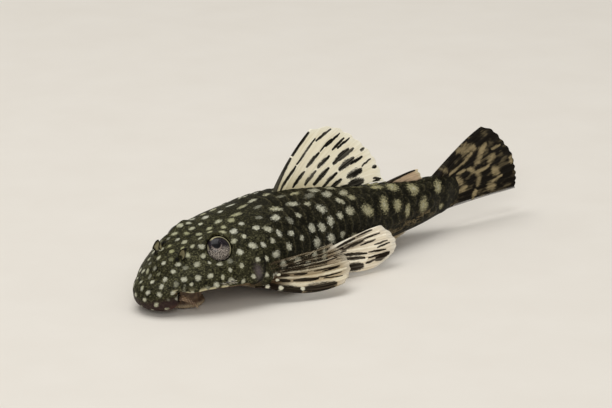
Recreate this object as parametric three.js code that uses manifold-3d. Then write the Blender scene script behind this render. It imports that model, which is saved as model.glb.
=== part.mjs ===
// A young bristlenose pleco at life size, resting on its mouth disc, belly and fin spines.
// Millimetres, +Z up from the floor. The head points along -X and the fish's left side faces -Y.
// Every shape is first made on a straight fish, with x measured back from the snout tip,
// and the last step bends the fish sideways along its centre line.
import * as THREE from "three";
import { mergeVertices } from "three/addons/utils/BufferGeometryUtils.js";
import Module from "manifold-3d";

const wasm = await Module();
wasm.setup();

// Main lengths along the straight fish
const BODY_LENGTH = 47.6;
const HEAD_END = 11.6;
const NAPE_SLANT = 4;
const TAIL_START = 34;
const GAP = 0.3;

// Where the part's origin lies on the bent fish: under the middle of its outline
const ORIGIN_X = 30.4;
const ORIGIN_Y = 0;

// How the fish bends to its left at the head and at the tail, in degrees
const HEAD_TURN = 4.5;
const TAIL_TURN = -3;
const STRAIGHT_FROM = 22;
const STRAIGHT_TO = 30;

// A smooth curve through a few [place, value] stations that never overshoots them.
function profile(stations) {
  const x = stations.map((s) => s[0]);
  const y = stations.map((s) => s[1]);
  const last = x.length - 1;
  const slope = x.slice(1).map((end, i) => (y[i + 1] - y[i]) / (end - x[i]));
  const tangent = x.map((_, i) => {
    if (i === 0) return slope[0];
    if (i === last) return slope[last - 1];
    const product = slope[i - 1] * slope[i];
    return product <= 0 ? 0 : (2 * product) / (slope[i - 1] + slope[i]);
  });
  return (at) => {
    if (at <= x[0]) return y[0];
    if (at >= x[last]) return y[last];
    let i = 0;
    while (at > x[i + 1]) i++;
    const width = x[i + 1] - x[i];
    const t = (at - x[i]) / width;
    const u = 1 - t;
    return (
      y[i] * u * u * (1 + 2 * t) +
      y[i + 1] * t * t * (3 - 2 * t) +
      width * t * u * (tangent[i] * u - tangent[i + 1] * t)
    );
  };
}

const smooth = (t) => {
  const c = Math.min(Math.max(t, 0), 1);
  return c * c * (3 - 2 * c);
};
const mix = (a, b, t) => a + (b - a) * t;
const radians = THREE.MathUtils.degToRad;
const at = (x, y, z) => new THREE.Vector3(x, y, z);

// The body's outline: half its width, its back, its belly and the height where it is widest
const halfWidth = profile([
  [0, 5.8], [4, 6.2], [8.5, 6.9], [13, 7.5], [17, 7.3], [22, 6.5],
  [28, 5.1], [34, 3.8], [40, 2.6], [45, 1.7], [BODY_LENGTH, 1.1],
]);
const back = profile([
  [0, 4.2], [1.6, 5.6], [3.5, 6.9], [5.5, 7.75], [8.5, 8.7], [13, 9.9], [20.5, 10.8],
  [28, 9.9], [34, 8.7], [40, 8], [44.5, 7.5], [BODY_LENGTH, 7.5],
]);
const belly = profile([
  [0, 2.1], [3, 2.9], [6, 3.0], [9, 2.4], [12, 1.6], [15, 0.4], [18, -0.25], [28, -0.2], [32, 0.2],
  [36, 0.8], [40, 1.15], [44, 1.6], [BODY_LENGTH, 2.3],
]);
const widestAt = profile([
  [0, 3.2], [5, 3.9], [9, 3.8], [14, 3.7], [22, 3.6], [30, 3.9], [38, 4.3], [BODY_LENGTH, 4.9],
]);
const upperSquareness = profile([[0, 1.4], [4, 1.5], [9, 2], [20, 1.9], [34, 2], [BODY_LENGTH, 2.3]]);
const lowerSquareness = profile([[0, 2], [9, 2.2], [16, 2.7], [28, 3], [40, 2.2], [BODY_LENGTH, 2.2]]);

// The snout's front rounds off over these lengths, seen from above, at its back and at its chin
const SNOUT_ROUND = 9;
const BROW_ROUND = 3.2;
const CHIN_ROUND = 1.6;
const rounding = (x, length, power) =>
  x >= length ? 1 : Math.sqrt(Math.max(1 - Math.pow(1 - x / length, power), 0));

// A point of the straight fish's skin. turn runs once round the body: 0 under the belly,
// 0.25 on the left side, 0.5 on the back and 0.75 on the right side.
function sectionPoint(x, turn) {
  const angle = 2 * Math.PI * turn - Math.PI / 2;
  const c = Math.cos(angle);
  const s = Math.sin(angle);
  const level = widestAt(x);
  const width = halfWidth(x) * rounding(x, SNOUT_ROUND, 2.15);
  const rise = (back(x) - level) * rounding(x, BROW_ROUND, 2);
  const drop = (level - belly(x)) * rounding(x, CHIN_ROUND, 2);
  const power = s > 0 ? upperSquareness(x) : lowerSquareness(x);
  const scale = Math.pow(Math.pow(Math.abs(c), power) + Math.pow(Math.abs(s), power), -1 / power);
  return at(x, -width * c * scale, level + (s > 0 ? rise : drop) * s * scale);
}

// The direction that faces away from the body there, square to its long axis
function sectionNormal(x, turn) {
  const step = 0.002;
  const a = sectionPoint(x, turn - step);
  const b = sectionPoint(x, turn + step);
  return at(0, b.z - a.z, a.y - b.y).normalize().multiplyScalar(-1);
}

// The eye, the way it faces and the raised ring round it, on both sides of the head
const EYE_RADIUS = 1.6;
const EYE_AT = [8.35, 3.7, 7.05];
const EYE_FACES = at(-0.3, 0.76, 0.57).normalize();
const ORBIT_SWELL = 0.4;
const ORBIT_REACH = 2.1;
const RIM_RADIUS = 1.98;
const RIM_THICK = 0.26;
const RIM_OUT = 0.3;
const DISH_RADIUS = 2.2;
const DISH_OUT = 1.55;
const eyeCentre = (side) => at(EYE_AT[0], side * EYE_AT[1], EYE_AT[2]);
const eyeAxis = (side) => at(EYE_FACES.x, side * EYE_FACES.y, EYE_FACES.z);

// Soft swellings of the head, as [x, distance from the midline, z, height, reach]
const SWELLINGS = [
  [EYE_AT[0], EYE_AT[1], EYE_AT[2], ORBIT_SWELL, ORBIT_REACH],
  [11.5, 6.4, 3, 0.25, 2.2],
];
function swelling(p) {
  return SWELLINGS.reduce((sum, [x, y, z, height, reach]) => {
    const square = (p.x - x) ** 2 + (Math.abs(p.y) - y) ** 2 + (p.z - z) ** 2;
    return sum + height * Math.exp(-square / reach ** 2);
  }, 0);
}

// Skin of the straight fish, lifted off the section by its swellings, by plates and by a margin.
// What would reach below the floor is pressed flat on it.
function skin(x, turn, lift) {
  const p = sectionPoint(x, turn);
  const out = sectionNormal(x, turn);
  p.addScaledVector(out, swelling(p) + lift);
  p.z = Math.max(p.z, 0);
  return p;
}

// Centre line of the bent fish: its direction turns at the head and at the tail
const LINE_STEP = 0.25;
const LINE_START = -4;
const LINE_END = 68;
const heading = (x) =>
  radians(HEAD_TURN) * (1 - smooth((x - 4) / (STRAIGHT_FROM - 4))) +
  radians(TAIL_TURN) * smooth((x - STRAIGHT_TO) / (LINE_END - STRAIGHT_TO));
function centreLine() {
  const line = [{ x: 0, y: 0 }];
  for (let x = LINE_START; x < LINE_END; x += LINE_STEP) {
    const from = line[line.length - 1];
    const turn = heading(x + LINE_STEP / 2);
    line.push({ x: from.x + LINE_STEP * Math.cos(turn), y: from.y + LINE_STEP * Math.sin(turn) });
  }
  const fixed = line[(STRAIGHT_FROM - LINE_START) / LINE_STEP];
  return line.map((p) => ({ x: p.x - fixed.x + STRAIGHT_FROM, y: p.y - fixed.y }));
}
const LINE = centreLine();
function bent(p) {
  const place = (p.x - LINE_START) / LINE_STEP;
  const i = Math.min(Math.max(Math.floor(place), 0), LINE.length - 2);
  const part = place - i;
  const x = mix(LINE[i].x, LINE[i + 1].x, part);
  const y = mix(LINE[i].y, LINE[i + 1].y, part);
  const turn = heading(p.x);
  return at(x - p.y * Math.sin(turn) - ORIGIN_X, y + p.y * Math.cos(turn) - ORIGIN_Y, p.z);
}

// A closed solid from points and triangles, with its faces turned outwards
function solid(points, triangles) {
  let volume = 0;
  for (const [a, b, c] of triangles) {
    volume += points[a].dot(points[b].clone().cross(points[c]));
  }
  const faces = volume < 0 ? triangles.map(([a, b, c]) => [a, c, b]) : triangles;
  return new wasm.Manifold(
    new wasm.Mesh({
      numProp: 3,
      vertProperties: new Float32Array(points.flatMap((p) => [p.x, p.y, p.z])),
      triVerts: new Uint32Array(faces.flat()),
    }),
  );
}

// A three.js geometry as a closed solid
function solidOf(geometry) {
  const plain = geometry.clone();
  plain.deleteAttribute("normal");
  plain.deleteAttribute("uv");
  const merged = mergeVertices(plain, 1e-4);
  return new wasm.Manifold(
    new wasm.Mesh({
      numProp: 3,
      vertProperties: new Float32Array(merged.attributes.position.array),
      triVerts: new Uint32Array(merged.index.array),
    }),
  );
}

// Rings of points, all of the same count, joined into a closed solid with a point at each end
function loft(rings) {
  const count = rings[0].length;
  const points = rings.flat();
  const triangles = [];
  for (let i = 0; i + 1 < rings.length; i++) {
    for (let j = 0; j < count; j++) {
      const a = i * count + j;
      const b = i * count + ((j + 1) % count);
      triangles.push([a, b, b + count], [a, b + count, a + count]);
    }
  }
  for (const [i, flip] of [[0, false], [rings.length - 1, true]]) {
    const middle = rings[i].reduce((sum, p) => sum.add(p), at(0, 0, 0)).divideScalar(count);
    points.push(middle);
    for (let j = 0; j < count; j++) {
      const pair = [i * count + j, i * count + ((j + 1) % count)];
      triangles.push([points.length - 1, ...(flip ? pair : pair.reverse())]);
    }
  }
  return solid(points, triangles);
}

const largest = (shape) =>
  shape.decompose().reduce((best, piece) => (piece.volume() > best.volume() ? piece : best));

// Places round the body where its columns of points stand, mirrored left and right
const BELLY_EDGE = 0.13;
const PLATE_ROWS = 5;
const COLUMNS_PER_ROW = 3;
function columnsRound() {
  const left = [0.05, 0.09];
  const step = (0.5 - BELLY_EDGE) / (PLATE_ROWS * COLUMNS_PER_ROW);
  for (let j = 0; j < PLATE_ROWS * COLUMNS_PER_ROW; j++) left.push(BELLY_EDGE + j * step);
  return [0, ...left, 0.5, ...left.map((turn) => 1 - turn).reverse()];
}
const COLUMNS = columnsRound();

// The whole body from snout to tail root as one closed shape, standing off its skin by a margin,
// which cuts the roots of the fins so that they follow the body
const PLATE_RISE = 0.2;
const SNOUT_START = 0.02;
function bodyCutter(margin) {
  const rings = [];
  const count = 70;
  for (let i = 0; i <= count; i++) {
    const x = mix(SNOUT_START, BODY_LENGTH + margin, Math.pow(i / count, 1.25));
    const plates = PLATE_RISE * smooth((x - HEAD_END) / 2);
    rings.push(COLUMNS.map((turn) => skin(x, turn, plates + margin)));
  }
  return loft(rings);
}

// The head ends behind the gill openings, further back on the nape than under the throat
const napeX = (turn) => HEAD_END + NAPE_SLANT * (0.5 - 0.5 * Math.cos(2 * Math.PI * turn));

function headShape() {
  const rings = [];
  const count = 20;
  for (let i = 0; i <= count; i++) {
    const part = Math.pow(i / count, 1.7);
    rings.push(COLUMNS.map((turn) => skin(mix(SNOUT_START, napeX(turn), part), turn, 0)));
  }
  let head = loft(rings);
  for (const side of [-1, 1]) {
    const axis = eyeAxis(side);
    const centre = eyeCentre(side);
    head = head.subtract(ball(centre.clone().addScaledVector(axis, DISH_OUT), DISH_RADIUS, 18));
    head = head.add(rimShape(centre.clone().addScaledVector(axis, RIM_OUT), axis));
    head = head.subtract(ball(centre, EYE_RADIUS + GAP, 20));
    for (const x of NOSTRIL_PITS) head = head.subtract(ball(onHead(x, side * NOSTRIL_Y), PIT_RADIUS, 8));
    head = head.add(nostrilFlap(side));
    for (const thorn of cheekThorns(side)) head = head.add(thorn);
  }
  return largest(head);
}

function ball(centre, radius, around) {
  const geometry = new THREE.SphereGeometry(radius, around, Math.round(around * 0.7));
  geometry.translate(centre.x, centre.y, centre.z);
  return solidOf(geometry);
}

function rimShape(centre, axis) {
  const ring = new THREE.TorusGeometry(RIM_RADIUS, RIM_THICK, 8, 22);
  ring.applyQuaternion(new THREE.Quaternion().setFromUnitVectors(at(0, 0, 1), axis));
  ring.translate(centre.x, centre.y, centre.z);
  return solidOf(ring);
}

// The point of the head's upper skin above a place given from above, found by halving the turn
function onHead(x, y) {
  let [low, high] = y < 0 ? [0.3, 0.5] : [0.5, 0.7];
  for (let i = 0; i < 30; i++) {
    const middle = (low + high) / 2;
    if (skin(x, middle, 0).y < y) low = middle;
    else high = middle;
  }
  return skin(x, low, 0);
}

// A tapered stalk of few sides from root to tip, with its root end sunk in what it grows from
function stalk(root, tip, rootRadius, tipRadius, { sides = 6, flat = 1, steps = 1, bow = 0 }) {
  const along = tip.clone().sub(root).normalize();
  const across = at(0, 1, 0).addScaledVector(along, -along.y).normalize();
  const over = along.clone().cross(across);
  const rings = [];
  for (let i = 0; i <= steps; i++) {
    const part = i / steps;
    const radius = mix(rootRadius, tipRadius, part);
    const middle = root.clone().lerp(tip, part).addScaledVector(over, 4 * bow * part * (1 - part));
    rings.push(Array.from({ length: sides }, (_, j) => {
      const angle = (2 * Math.PI * j) / sides;
      return middle.clone()
        .addScaledVector(across, radius * Math.cos(angle))
        .addScaledVector(over, flat * radius * Math.sin(angle));
    }));
  }
  return loft(rings);
}

// Each nostril is a front and a rear pit with a small flap standing between them
const NOSTRIL_X = 4;
const NOSTRIL_Y = 1.8;
const NOSTRIL_PITS = [NOSTRIL_X - 0.6, NOSTRIL_X + 0.65];
const PIT_RADIUS = 0.34;
const FLAP_TALL = 0.95;
function nostrilFlap(side) {
  const foot = onHead(NOSTRIL_X, side * NOSTRIL_Y);
  const root = foot.clone().add(at(0.2, 0, -0.4));
  const tip = foot.clone().add(at(-0.25, side * 0.1, FLAP_TALL));
  return stalk(root, tip, 0.5, 0.38, { sides: 8, flat: 0.5, steps: 2, bow: 0.1 });
}

// A patch of short thorns low on the cheek, in rows that point back and outwards
const THORNS = [[6.5, 0.21], [7.3, 0.2], [8.1, 0.195], [7, 0.225], [7.8, 0.215], [8.7, 0.205]];
const THORN_LONG = 0.75;
const THORN_SUNK = 0.5;
function cheekThorns(side) {
  return THORNS.map(([x, level], i) => {
    const turn = side < 0 ? level : 1 - level;
    const foot = skin(x, turn, 0);
    const out = sectionNormal(x, turn);
    const lean = at(1, 0, 0).addScaledVector(out, 0.6 + 0.1 * (i % 3)).normalize();
    const root = foot.clone().addScaledVector(out, -THORN_SUNK);
    return stalk(root, foot.clone().addScaledVector(lean, THORN_LONG), 0.3, 0.1, { sides: 5 });
  });
}

// A length of the body with rows of bony plates. Each plate rises towards its rear edge, which
// bulges back in its middle and drops to the next plate; the belly between the lowest rows is bare.
const PLATE_LENGTH = 1.4;
const PLATE_PHASES = [0, 0.5, 0.93];
const EDGE_BULGE = 0.28;
const isRowMiddle = (j) => {
  const place = Math.min(j, COLUMNS.length - j) - 3;
  const onBack = place === PLATE_ROWS * COLUMNS_PER_ROW;
  return place >= 0 && (place % COLUMNS_PER_ROW !== 0 || onBack);
};
function bodyShape(from, to) {
  const plates = Math.round((to - from(0.5)) / PLATE_LENGTH);
  const rings = [];
  const addRing = (place, lift) => {
    const fade = smooth(8 * place) * smooth(8 * (1 - place));
    rings.push(COLUMNS.map((turn, j) => {
      const middle = isRowMiddle(j) ? 1 : 0;
      const x = mix(from(turn), to, place) + EDGE_BULGE * middle * fade;
      return skin(x, turn, lift * PLATE_RISE * middle);
    }));
  };
  for (let i = 0; i < plates; i++) {
    for (const phase of PLATE_PHASES) addRing((i + phase) / plates, mix(0.1, 1, phase));
  }
  addRing(1, 1);
  return loft(rings);
}

const eyeShape = (side) => ball(eyeCentre(side), EYE_RADIUS, 18);

// A fin is a fan of rays. ray(f) gives the root, tip and bend of the ray at f, from 0 at the
// leading edge to 1 at the last ray. The membrane between rays is thinner than the rays.
const MEMBRANE = 0.5;
const MARGIN = 0.3;
const SCALLOP = 0.02;
function finShape({ rays, ray, rootThick, rayThick, spineThick, spineWide, rows }) {
  const columns = [[0, spineThick], [spineWide, spineThick], [spineWide + 0.15, 0]];
  const shoulder = 0.2;
  for (let i = 1; i < rays; i++) {
    columns.push([i - shoulder, 0], [i, rayThick]);
    if (i < rays - 1) columns.push([i + shoulder, 0]);
  }
  const grid = columns.map(([place, ridge]) => {
    const f = place / (rays - 1);
    const points = [];
    for (let j = 0; j <= rows; j++) {
      const v = (j / rows) * (ridge > 0 ? 1 : 1 - SCALLOP);
      const step = 0.01;
      const here = rayPoint(ray(f), v);
      const along = rayPoint(ray(f), v + step).sub(rayPoint(ray(f), v - step));
      const across = rayPoint(ray(f + step), v).sub(rayPoint(ray(f - step), v));
      const out = along.cross(across).normalize();
      const root = (rootThick - MEMBRANE) * Math.pow(1 - v, 4);
      const half = 0.5 * (mix(MEMBRANE, MARGIN, v ** 3) + root + ridge * (1 - 0.8 * v));
      points.push([
        here.clone().addScaledVector(out, half),
        here.clone().addScaledVector(out, -half),
      ]);
    }
    return points;
  });
  return sheetSolid(grid);
}

function rayPoint({ root, tip, bend }, v) {
  const point = root.clone().lerp(tip, v);
  return point.addScaledVector(bend, 4 * v * (1 - v));
}

// A thin solid from a grid of [front, back] points, split into triangles alike on both faces
function sheetSolid(grid) {
  const columns = grid.length;
  const rows = grid[0].length;
  const points = grid.flat(2);
  const index = (i, j, face) => (i * rows + j) * 2 + face;
  const triangles = [];
  for (let i = 0; i + 1 < columns; i++) {
    for (let j = 0; j + 1 < rows; j++) {
      const corners = (face) => [
        index(i, j, face), index(i + 1, j, face), index(i + 1, j + 1, face), index(i, j + 1, face),
      ];
      const [a, b, c, d] = corners(0);
      const [e, f, g, h] = corners(1);
      triangles.push([a, b, c], [a, c, d], [e, g, f], [e, h, g]);
    }
  }
  const rim = [];
  for (let i = 0; i + 1 < columns; i++) rim.push([i, 0, i + 1, 0]);
  for (let j = 0; j + 1 < rows; j++) rim.push([columns - 1, j, columns - 1, j + 1]);
  for (let i = columns - 1; i > 0; i--) rim.push([i, rows - 1, i - 1, rows - 1]);
  for (let j = rows - 1; j > 0; j--) rim.push([0, j, 0, j - 1]);
  for (const [i, j, k, l] of rim) {
    const [a, b] = [index(i, j, 0), index(k, l, 0)];
    const [c, d] = [index(i, j, 1), index(k, l, 1)];
    triangles.push([b, a, c], [b, c, d]);
  }
  return solid(points, triangles);
}

// Fins on the midline: the ray at f starts at rootX, rootZ and runs at an angle above the axis
function midlineRay({ rootX, rootZ, angle, length, bow, sway }) {
  return (f) => {
    const turn = radians(angle(f));
    const root = at(rootX(f), 0, rootZ(f));
    const tip = root.clone().add(at(Math.cos(turn), 0, Math.sin(turn)).multiplyScalar(length(f)));
    tip.y += sway * Math.sin(Math.PI * f);
    return { root, tip, bend: at(-Math.sin(turn), 0, Math.cos(turn)).multiplyScalar(bow(f)) };
  };
}

const DORSAL_FROM = 20.4;
const DORSAL_TO = 31.6;
const dorsalRay = midlineRay({
  rootX: (f) => mix(DORSAL_FROM, DORSAL_TO, f),
  rootZ: (f) => back(mix(DORSAL_FROM, DORSAL_TO, f)) - 0.7,
  angle: (f) => mix(51, 6, f),
  length: profile([[0, 9.9], [0.2, 10.9], [0.6, 9.8], [1, 7]]),
  bow: () => 0.35,
  sway: 0.3,
});

const CAUDAL_ROOT = BODY_LENGTH - 0.6;
const caudalRay = midlineRay({
  rootX: () => CAUDAL_ROOT,
  rootZ: (f) => mix(7.1, 2.75, f),
  angle: profile([[0, 35], [0.1, 28.5], [0.25, 20], [0.5, 10], [0.75, 4.5], [1, 1]]),
  length: profile([[0, 9.6], [0.1, 11.5], [0.25, 12.6], [0.5, 14.2], [0.75, 14.6], [1, 14.2]]),
  bow: (f) => 0.5 * (1 - smooth(3 * f)),
  sway: 0.5,
});

const adiposeRay = midlineRay({
  rootX: (f) => mix(37.6, 43.2, f),
  rootZ: (f) => back(mix(37.6, 43.2, f)) - 0.5,
  angle: (f) => mix(10.5, 12, f),
  length: (f) => mix(6.7, 1.9, f),
  bow: () => 0.25,
  sway: 0,
});

const analRay = midlineRay({
  rootX: (f) => mix(35, 38.2, f),
  rootZ: (f) => belly(mix(35, 38.2, f)) + 0.1,
  angle: (f) => mix(-6, -1, f),
  length: (f) => mix(5.6, 4.2, f),
  bow: () => 0,
  sway: 0,
});

// Paired fins: root, middle and tip of the first, the middle and the last ray, on the left side
const pairedFins = {
  pectoral: {
    first: { root: [12, 6.3, 2.3], tip: [22.6, 11, 1.5], bend: [0, 1, -0.8] },
    middle: { root: [12.9, 6.2, 3.2], tip: [24.7, 9.7, 2.9], bend: [0, 0.6, -0.4] },
    last: { root: [13.6, 6.2, 3.8], tip: [24, 7.1, 4.6], bend: [0, 1, 0.3] },
  },
  pelvic: {
    first: { root: [21.9, 4.4, 1.1], tip: [31.2, 6.8, 0.6], bend: [0, 0.9, -0.15] },
    middle: { root: [22.3, 5, 2.1], tip: [34.6, 6.9, 2.6], bend: [0, 0.9, 0.3] },
    last: { root: [22.7, 5.5, 3.1], tip: [33.8, 4.9, 4.9], bend: [0, 1.3, 0.9] },
  },
};

function pairedRay(name, side) {
  const { first, middle, last } = pairedFins[name];
  const through = (key) => (f) => {
    const [a, b, c] = [first[key], middle[key], last[key]];
    const value = [0, 1, 2].map(
      (i) => a[i] * (1 - f) * (1 - 2 * f) + b[i] * 4 * f * (1 - f) + c[i] * f * (2 * f - 1),
    );
    return at(value[0], side * value[1], value[2]);
  };
  const [root, tip, bend] = ["root", "tip", "bend"].map(through);
  return (f) => ({ root: root(f), tip: tip(f), bend: bend(f) });
}

// The upper lip is a roll round the front of the mouth, thickest at the snout tip. Its section is
// an upright oval held just off the floor; margin grows it on all sides.
const LIP_AT = [4.2, 0];
const LIP_REACH = [3.75, 3.4];
const LIP_THICK = 1.25;
const LIP_HIGH = 1.35;
const LIP_LEVEL = 1.85;
const LIP_SWEEP = 63;
function upperLipShape(margin) {
  const rings = [];
  const count = 16;
  for (let i = 0; i <= count; i++) {
    const part = (2 * i) / count - 1;
    const turn = radians(LIP_SWEEP) * part;
    const shrink = Math.sqrt(1 - 0.97 * Math.abs(part) ** 5);
    const thick = LIP_THICK * shrink * mix(1, 0.8, part ** 2) + margin;
    const high = LIP_HIGH * shrink * mix(1, 0.85, part ** 2) + margin;
    const out = [-Math.cos(turn), Math.sin(turn)];
    rings.push(Array.from({ length: 12 }, (_, j) => {
      const angle = (2 * Math.PI * j) / 12;
      const reach = thick * Math.cos(angle);
      return at(
        LIP_AT[0] + out[0] * (LIP_REACH[0] + reach),
        LIP_AT[1] + out[1] * (LIP_REACH[1] + reach),
        LIP_LEVEL + high * Math.sin(angle),
      );
    }));
  }
  return loft(rings);
}

// The lower lip is a soft round disc behind the mouth's line, and the head rests on it
const PAD_AT = [5.7, 0, 0];
const PAD_SIZE = [2.7, 2.8, 3.6];
function lowerLipShape() {
  const outline = [[0, 0], [0.86, 0], [0.97, 0.04], [1, 0.12], [0.96, 0.22], [0.8, 0.36], [0.74, 1], [0, 1]];
  const pad = new THREE.LatheGeometry(outline.map(([r, z]) => new THREE.Vector2(r, z)), 28);
  pad.rotateX(Math.PI / 2);
  pad.scale(...PAD_SIZE);
  pad.translate(...PAD_AT);
  return solidOf(pad).subtract(upperLipShape(GAP));
}

// A short barbel hangs at each corner of the upper lip
const BARBEL_ROOT = [2.75, 3.5, 2];
const BARBEL_TIP = [4.7, 4, 0.6];
function barbelShape(side) {
  const root = at(BARBEL_ROOT[0], side * BARBEL_ROOT[1], BARBEL_ROOT[2]);
  const tip = at(BARBEL_TIP[0], side * BARBEL_TIP[1], BARBEL_TIP[2]);
  return stalk(root, tip, 0.38, 0.16, { sides: 8, steps: 3, bow: 0.2 }).subtract(upperLipShape(GAP));
}

const colours = {
  skin: new THREE.MeshStandardMaterial({ color: 0x23241c, roughness: 0.5, metalness: 0 }),
  lips: new THREE.MeshStandardMaterial({ color: 0x4a3a34, roughness: 0.55, metalness: 0 }),
  fin: new THREE.MeshStandardMaterial({ color: 0xcfc4a4, roughness: 0.45, metalness: 0 }),
  eye: new THREE.MeshStandardMaterial({ color: 0x3a2f33, roughness: 0.12, metalness: 0 }),
};

const fish = new THREE.Group();
function addNode(name, shape, colour) {
  const mesh = largest(shape).getMesh();
  const positions = new Float32Array(mesh.numVert * 3);
  for (let i = 0; i < mesh.numVert; i++) {
    const [x, y, z] = mesh.vertProperties.subarray(i * mesh.numProp, i * mesh.numProp + 3);
    bent(at(x, y, z)).toArray(positions, i * 3);
  }
  const geometry = new THREE.BufferGeometry();
  geometry.setAttribute("position", new THREE.BufferAttribute(positions, 3));
  geometry.setIndex(new THREE.BufferAttribute(new Uint32Array(mesh.triVerts), 1));
  const node = new THREE.Mesh(geometry, colour);
  node.name = name;
  fish.add(node);
}

const cutter = bodyCutter(GAP);
addNode("head", headShape(), colours.skin);
addNode("torso", bodyShape((turn) => napeX(turn) + GAP, TAIL_START), colours.skin);
addNode("tail", bodyShape(() => TAIL_START + GAP, BODY_LENGTH), colours.skin);
addNode("upper_lip", upperLipShape(0).subtract(cutter), colours.skin);
addNode("lower_lip", lowerLipShape().subtract(cutter), colours.lips);

const spine = { rootThick: 1, rayThick: 0.25, spineThick: 0.45, spineWide: 0.12, rows: 8 };
addNode("dorsal_fin", finShape({ rays: 9, ray: dorsalRay, ...spine }).subtract(cutter), colours.fin);
addNode("caudal_fin", finShape({ rays: 12, ray: caudalRay, ...spine, rootThick: 1.8 }).subtract(cutter), colours.fin);
addNode("adipose_fin", finShape({ rays: 3, ray: adiposeRay, ...spine, rows: 4 }).subtract(cutter), colours.fin);
addNode("anal_fin", finShape({ rays: 4, ray: analRay, ...spine, rows: 4 }).subtract(cutter), colours.fin);
for (const [side, word] of [[-1, "left"], [1, "right"]]) {
  addNode("eye_" + word, eyeShape(side), colours.eye);
  addNode("barbel_" + word, barbelShape(side).subtract(cutter), colours.skin);
  for (const name of ["pectoral", "pelvic"]) {
    const shape = finShape({ rays: 7, ray: pairedRay(name, side), ...spine, spineThick: 0.5, spineWide: 0.6 });
    addNode(name + "_fin_" + word, shape.subtract(cutter), colours.fin);
  }
}

export default fish;
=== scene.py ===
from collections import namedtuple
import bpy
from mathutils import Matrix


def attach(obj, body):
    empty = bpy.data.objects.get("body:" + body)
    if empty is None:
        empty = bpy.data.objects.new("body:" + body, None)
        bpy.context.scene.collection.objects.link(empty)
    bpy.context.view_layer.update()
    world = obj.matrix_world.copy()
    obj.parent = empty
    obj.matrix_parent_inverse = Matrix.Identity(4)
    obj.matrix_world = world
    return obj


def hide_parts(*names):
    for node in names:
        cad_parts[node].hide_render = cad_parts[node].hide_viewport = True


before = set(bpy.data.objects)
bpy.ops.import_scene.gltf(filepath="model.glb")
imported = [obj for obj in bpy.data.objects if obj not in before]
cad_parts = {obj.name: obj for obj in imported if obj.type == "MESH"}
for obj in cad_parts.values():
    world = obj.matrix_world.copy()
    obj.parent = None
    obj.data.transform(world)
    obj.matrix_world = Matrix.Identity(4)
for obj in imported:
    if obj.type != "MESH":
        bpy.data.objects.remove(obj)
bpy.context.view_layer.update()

# A young bristlenose pleco at life size. Shapes are worked out in millimetres on a straight fish,
# with x measured back from the snout tip, and then bent sideways along its centre line.
from types import SimpleNamespace

import bpy
import numpy as np
from mathutils import Vector

MM = 0.001
BODY = "root"
SIDES = {"left": -1, "right": 1}
dice = np.random.default_rng(11)

# Main lengths, as in the solids
BODY_LENGTH = 47.6
HEAD_END = 11.6
NAPE_SLANT = 4
ORIGIN_X = 30.4
HEAD_TURN = 4.5
TAIL_TURN = -3
TURN_FROM = 4
STRAIGHT_FROM = 22
STRAIGHT_TO = 30
LINE_STEP = 0.25
LINE_START = -4
LINE_END = 68


def smooth(t):
    """3t^2 - 2t^3 on t held between 0 and 1."""
    c = np.clip(t, 0, 1)
    return c * c * (3 - 2 * c)


def step(value, start, end):
    """0 at start and 1 at end, smooth between. The end may be the lower of the two."""
    return smooth((value - start) / (end - start))


def mix(a, b, t):
    """a at t 0 and b at t 1."""
    return a + (b - a) * t


def bump(t):
    """A bell, e^(-t^2)."""
    return np.exp(-np.square(t))


def unit(v):
    """Vectors scaled to length 1."""
    return v / np.maximum(np.linalg.norm(v, axis=-1, keepdims=True), 1e-9)


def join(*axes):
    """Three arrays of coordinates as one array of points."""
    return np.stack(np.broadcast_arrays(*axes), axis=-1).astype(float)


def turns(count):
    """Even angles round a circle."""
    return np.arange(count) / count * 2 * np.pi


def grid(first, second):
    """Two rows of numbers as the two parameters of a grid."""
    return np.meshgrid(first, second, indexing="ij")


def profile(*stations):
    """A curve through [place, value] stations: cubic pieces whose slope at a station is the harmonic
    mean of the slopes beside it, or 0 where they change sign, so it never overshoots."""
    x, y = np.array(stations, float).T
    slope = np.diff(y) / np.diff(x)
    before, after = slope[:-1], slope[1:]
    total = np.where(before + after == 0, 1, before + after)
    inner = np.where(before * after > 0, 2 * before * after / total, 0)
    tangent = np.concatenate([slope[:1], inner, slope[-1:]])

    def curve(place):
        place = np.clip(np.asarray(place, float), x[0], x[-1])
        i = np.clip(np.searchsorted(x, place, side="right") - 1, 0, len(x) - 2)
        width = x[i + 1] - x[i]
        t = (place - x[i]) / width
        u = 1 - t
        ends = y[i] * u * u * (1 + 2 * t) + y[i + 1] * t * t * (3 - 2 * t)
        return ends + width * t * u * (tangent[i] * u - tangent[i + 1] * t)

    return curve


def heading(x):
    """The direction of the fish's centre line at x, in radians."""
    head = np.radians(HEAD_TURN) * step(x, STRAIGHT_FROM, TURN_FROM)
    return head + np.radians(TAIL_TURN) * step(x, STRAIGHT_TO, LINE_END)


def bent(p):
    """Carries points of the straight fish to the bent one: the place on the integrated centre line
    plus the distance from the midline, square to the line's heading there."""
    at = np.arange(LINE_START, LINE_END + LINE_STEP, LINE_STEP)
    turn = heading(at[:-1] + LINE_STEP / 2)
    line_x = np.concatenate([[0], np.cumsum(LINE_STEP * np.cos(turn))])
    line_y = np.concatenate([[0], np.cumsum(LINE_STEP * np.sin(turn))])
    x, y, z = np.moveaxis(np.asarray(p, float), -1, 0)
    place_x = np.interp(x, at, line_x - np.interp(STRAIGHT_FROM, at, line_x) + STRAIGHT_FROM)
    place_y = np.interp(x, at, line_y - np.interp(STRAIGHT_FROM, at, line_y))
    turn = heading(x)
    return join(place_x - y * np.sin(turn) - ORIGIN_X, place_y + y * np.cos(turn), z)


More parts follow.
